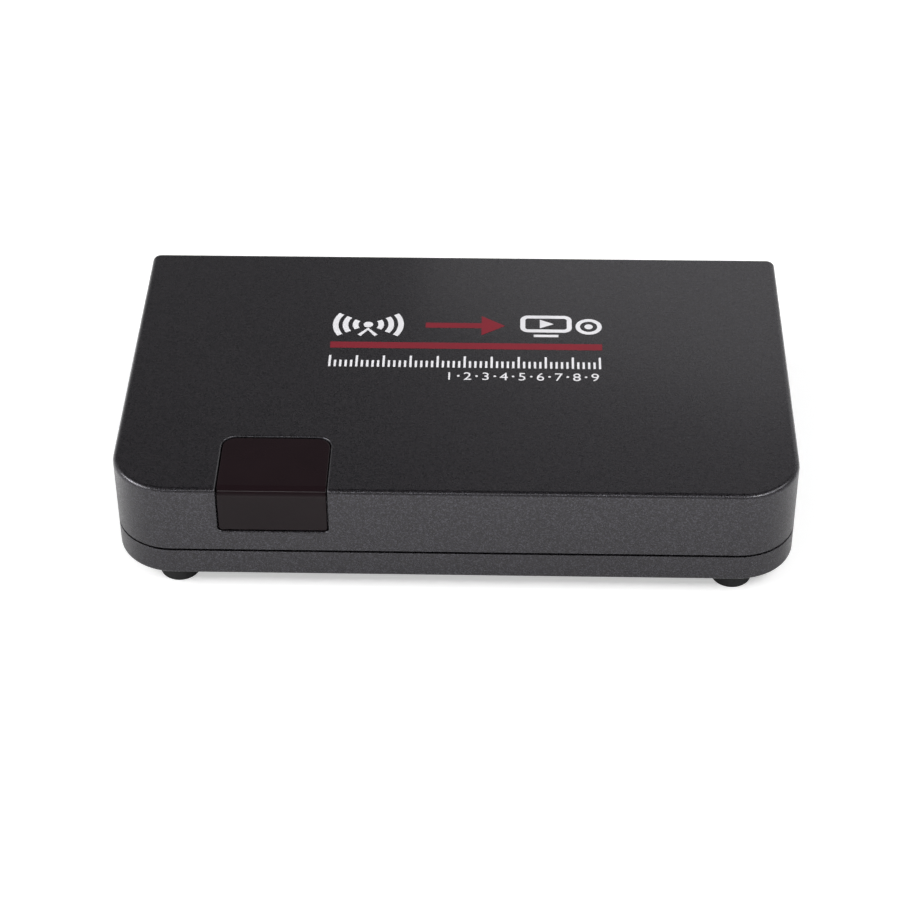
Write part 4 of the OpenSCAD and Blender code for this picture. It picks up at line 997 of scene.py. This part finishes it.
# The floor's glow for gloss fades close to the box: a painted shade
studio = {"floorSize": 6.0, "floorColour": (0.80, 0.80, 0.80), "floorRoughness": 0.9,
          "glow": 0.50, "farStart": 0.45, "farEnd": 1.3, "shadeReach": 46 * mm, "shadeNear": 0.0,
          "shadeFar": 1.0, "worldFill": 0.14, "skyLow": 0.8, "skyHigh": 0.04, "skyStart": 0.05,
          "skyEnd": 0.72, "aim": (0, 0, 12 * mm)}
lamps = {
    "boxLeft": {"from": (-0.78, -0.17, 0.59), "away": 0.9, "size": (0.80, 0.36), "power": 5.2},
    "boxRight": {"from": (0.62, -0.12, 0.78), "away": 0.9, "size": (0.80, 0.30), "power": 2.6},
    "sparkLeft": {"from": (-0.80, -0.12, 0.56), "away": 0.9, "size": (0.2, 0.2), "power": 1.2},
    "sparkRight": {"from": (0.45, -0.45, 0.76), "away": 0.9, "size": (0.2, 0.2), "power": 1.6},
    "stripFront": {"from": (0.02, -0.60, 0.76), "away": 0.9, "size": (0.9, 0.06), "power": 1.2},
    "rearSoft": {"from": (0.34, 0.79, 0.48), "away": 0.42, "size": (0.34, 0.14), "power": 0.10},
}


def makeLamps():
    target = Vector(studio["aim"])
    for name, lamp in lamps.items():
        light = bpy.data.lights.new(name, "AREA")
        light.shape, light.energy = "RECTANGLE", lamp["power"]
        light.size, light.size_y = lamp["size"]
        made = bpy.data.objects.new(name, light)
        scene.collection.objects.link(made)
        made.location = target + Vector(lamp["from"]).normalized() * lamp["away"]
        made.visible_camera = False
        made.rotation_euler = (target - made.location).to_track_quat("-Z", "Y").to_euler()


def makeWorld():
    world = bpy.data.worlds.new("studioWorld")
    scene.world = world
    world.use_nodes = True
    tree = world.node_tree
    tree.nodes.clear()
    path = put(tree, "ShaderNodeLightPath")
    seen = calculate(tree, "MAXIMUM", path.outputs["Is Camera Ray"],
                     path.outputs["Is Transmission Ray"])
    direction = put(tree, "ShaderNodeSeparateXYZ")
    feed(tree, direction.inputs[0], put(tree, "ShaderNodeTexCoord").outputs["Generated"])
    sky = ramp(tree, direction.outputs[2], studio["skyStart"], studio["skyEnd"],
               studio["skyLow"], studio["skyHigh"])
    rest = ramp(tree, path.outputs["Is Glossy Ray"], 0.0, 1.0, studio["worldFill"], sky)
    strength = put(tree, "ShaderNodeMix", data_type="FLOAT")
    feed(tree, strength.inputs[0], seen)
    feed(tree, strength.inputs[2], rest)
    strength.inputs[3].default_value = 1.0
    background = put(tree, "ShaderNodeBackground")
    background.inputs["Color"].default_value = (1, 1, 1, 1)
    feed(tree, background.inputs["Strength"], strength.outputs[0])
    leave = put(tree, "ShaderNodeOutputWorld")
    tree.links.new(background.outputs[0], leave.inputs["Surface"])


def floorGlow(tree):  # white to the eye; as gloss sees it, a painted shade darkens it close to the box
    path = put(tree, "ShaderNodeLightPath")
    place = put(tree, "ShaderNodeTexCoord").outputs["Object"]
    parts = put(tree, "ShaderNodeSeparateXYZ")
    feed(tree, parts.inputs[0], place)
    half = (cadHigh - cadLow) / 2
    gaps = [calculate(tree, "SUBTRACT", calculate(tree, "ABSOLUTE", parts.outputs[i]), half[i])
            for i in (0, 1)]
    # painted shade: the glow that gloss sees fades out towards the box
    near = ramp(tree, calculate(tree, "MAXIMUM", gaps[0], gaps[1]), 0.0, studio["shadeReach"],
                studio["shadeNear"], studio["shadeFar"])
    glossy = calculate(tree, "MULTIPLY", path.outputs["Is Glossy Ray"], near)
    seen = calculate(tree, "MAXIMUM", path.outputs["Is Camera Ray"], glossy)
    seen = calculate(tree, "MAXIMUM", seen, path.outputs["Is Transmission Ray"])
    away = put(tree, "ShaderNodeVectorMath", operation="LENGTH")
    feed(tree, away.inputs[0], place)
    far = ramp(tree, away.outputs["Value"], studio["farStart"], studio["farEnd"],
               0.0, 1 - studio["glow"])
    far = calculate(tree, "MULTIPLY", far, path.outputs["Is Camera Ray"])
    return calculate(tree, "ADD", calculate(tree, "MULTIPLY", seen, studio["glow"]), far)


def makeFloor():
    bm = bmesh.new()
    bmesh.ops.create_grid(bm, x_segments=1, y_segments=1, size=studio["floorSize"] / 2)
    mesh = bpy.data.meshes.new("studioFloor")
    bm.to_mesh(mesh)
    bm.free()
    material, tree, shader = newMaterial("studioFloor", specular=0.0)
    shader.inputs["Base Color"].default_value = opaque(studio["floorColour"])
    shader.inputs["Roughness"].default_value = studio["floorRoughness"]
    shader.inputs["Emission Color"].default_value = (1, 1, 1, 1)
    feed(tree, shader.inputs["Emission Strength"], floorGlow(tree))
    below = put(tree, "ShaderNodeMixShader")  # clear from below, so that the underside can be seen
    feed(tree, below.inputs[0], put(tree, "ShaderNodeNewGeometry").outputs["Backfacing"])
    tree.links.new(shader.outputs[0], below.inputs[1])
    tree.links.new(put(tree, "ShaderNodeBsdfTransparent").outputs[0], below.inputs[2])
    tree.links.new(below.outputs[0], tree.nodes["Material Output"].inputs["Surface"])
    linkObject("studioFloor", mesh, material)


makeLamps()
makeWorld()
makeFloor()
scene.view_settings.view_transform = "Standard"
print("studio ready")
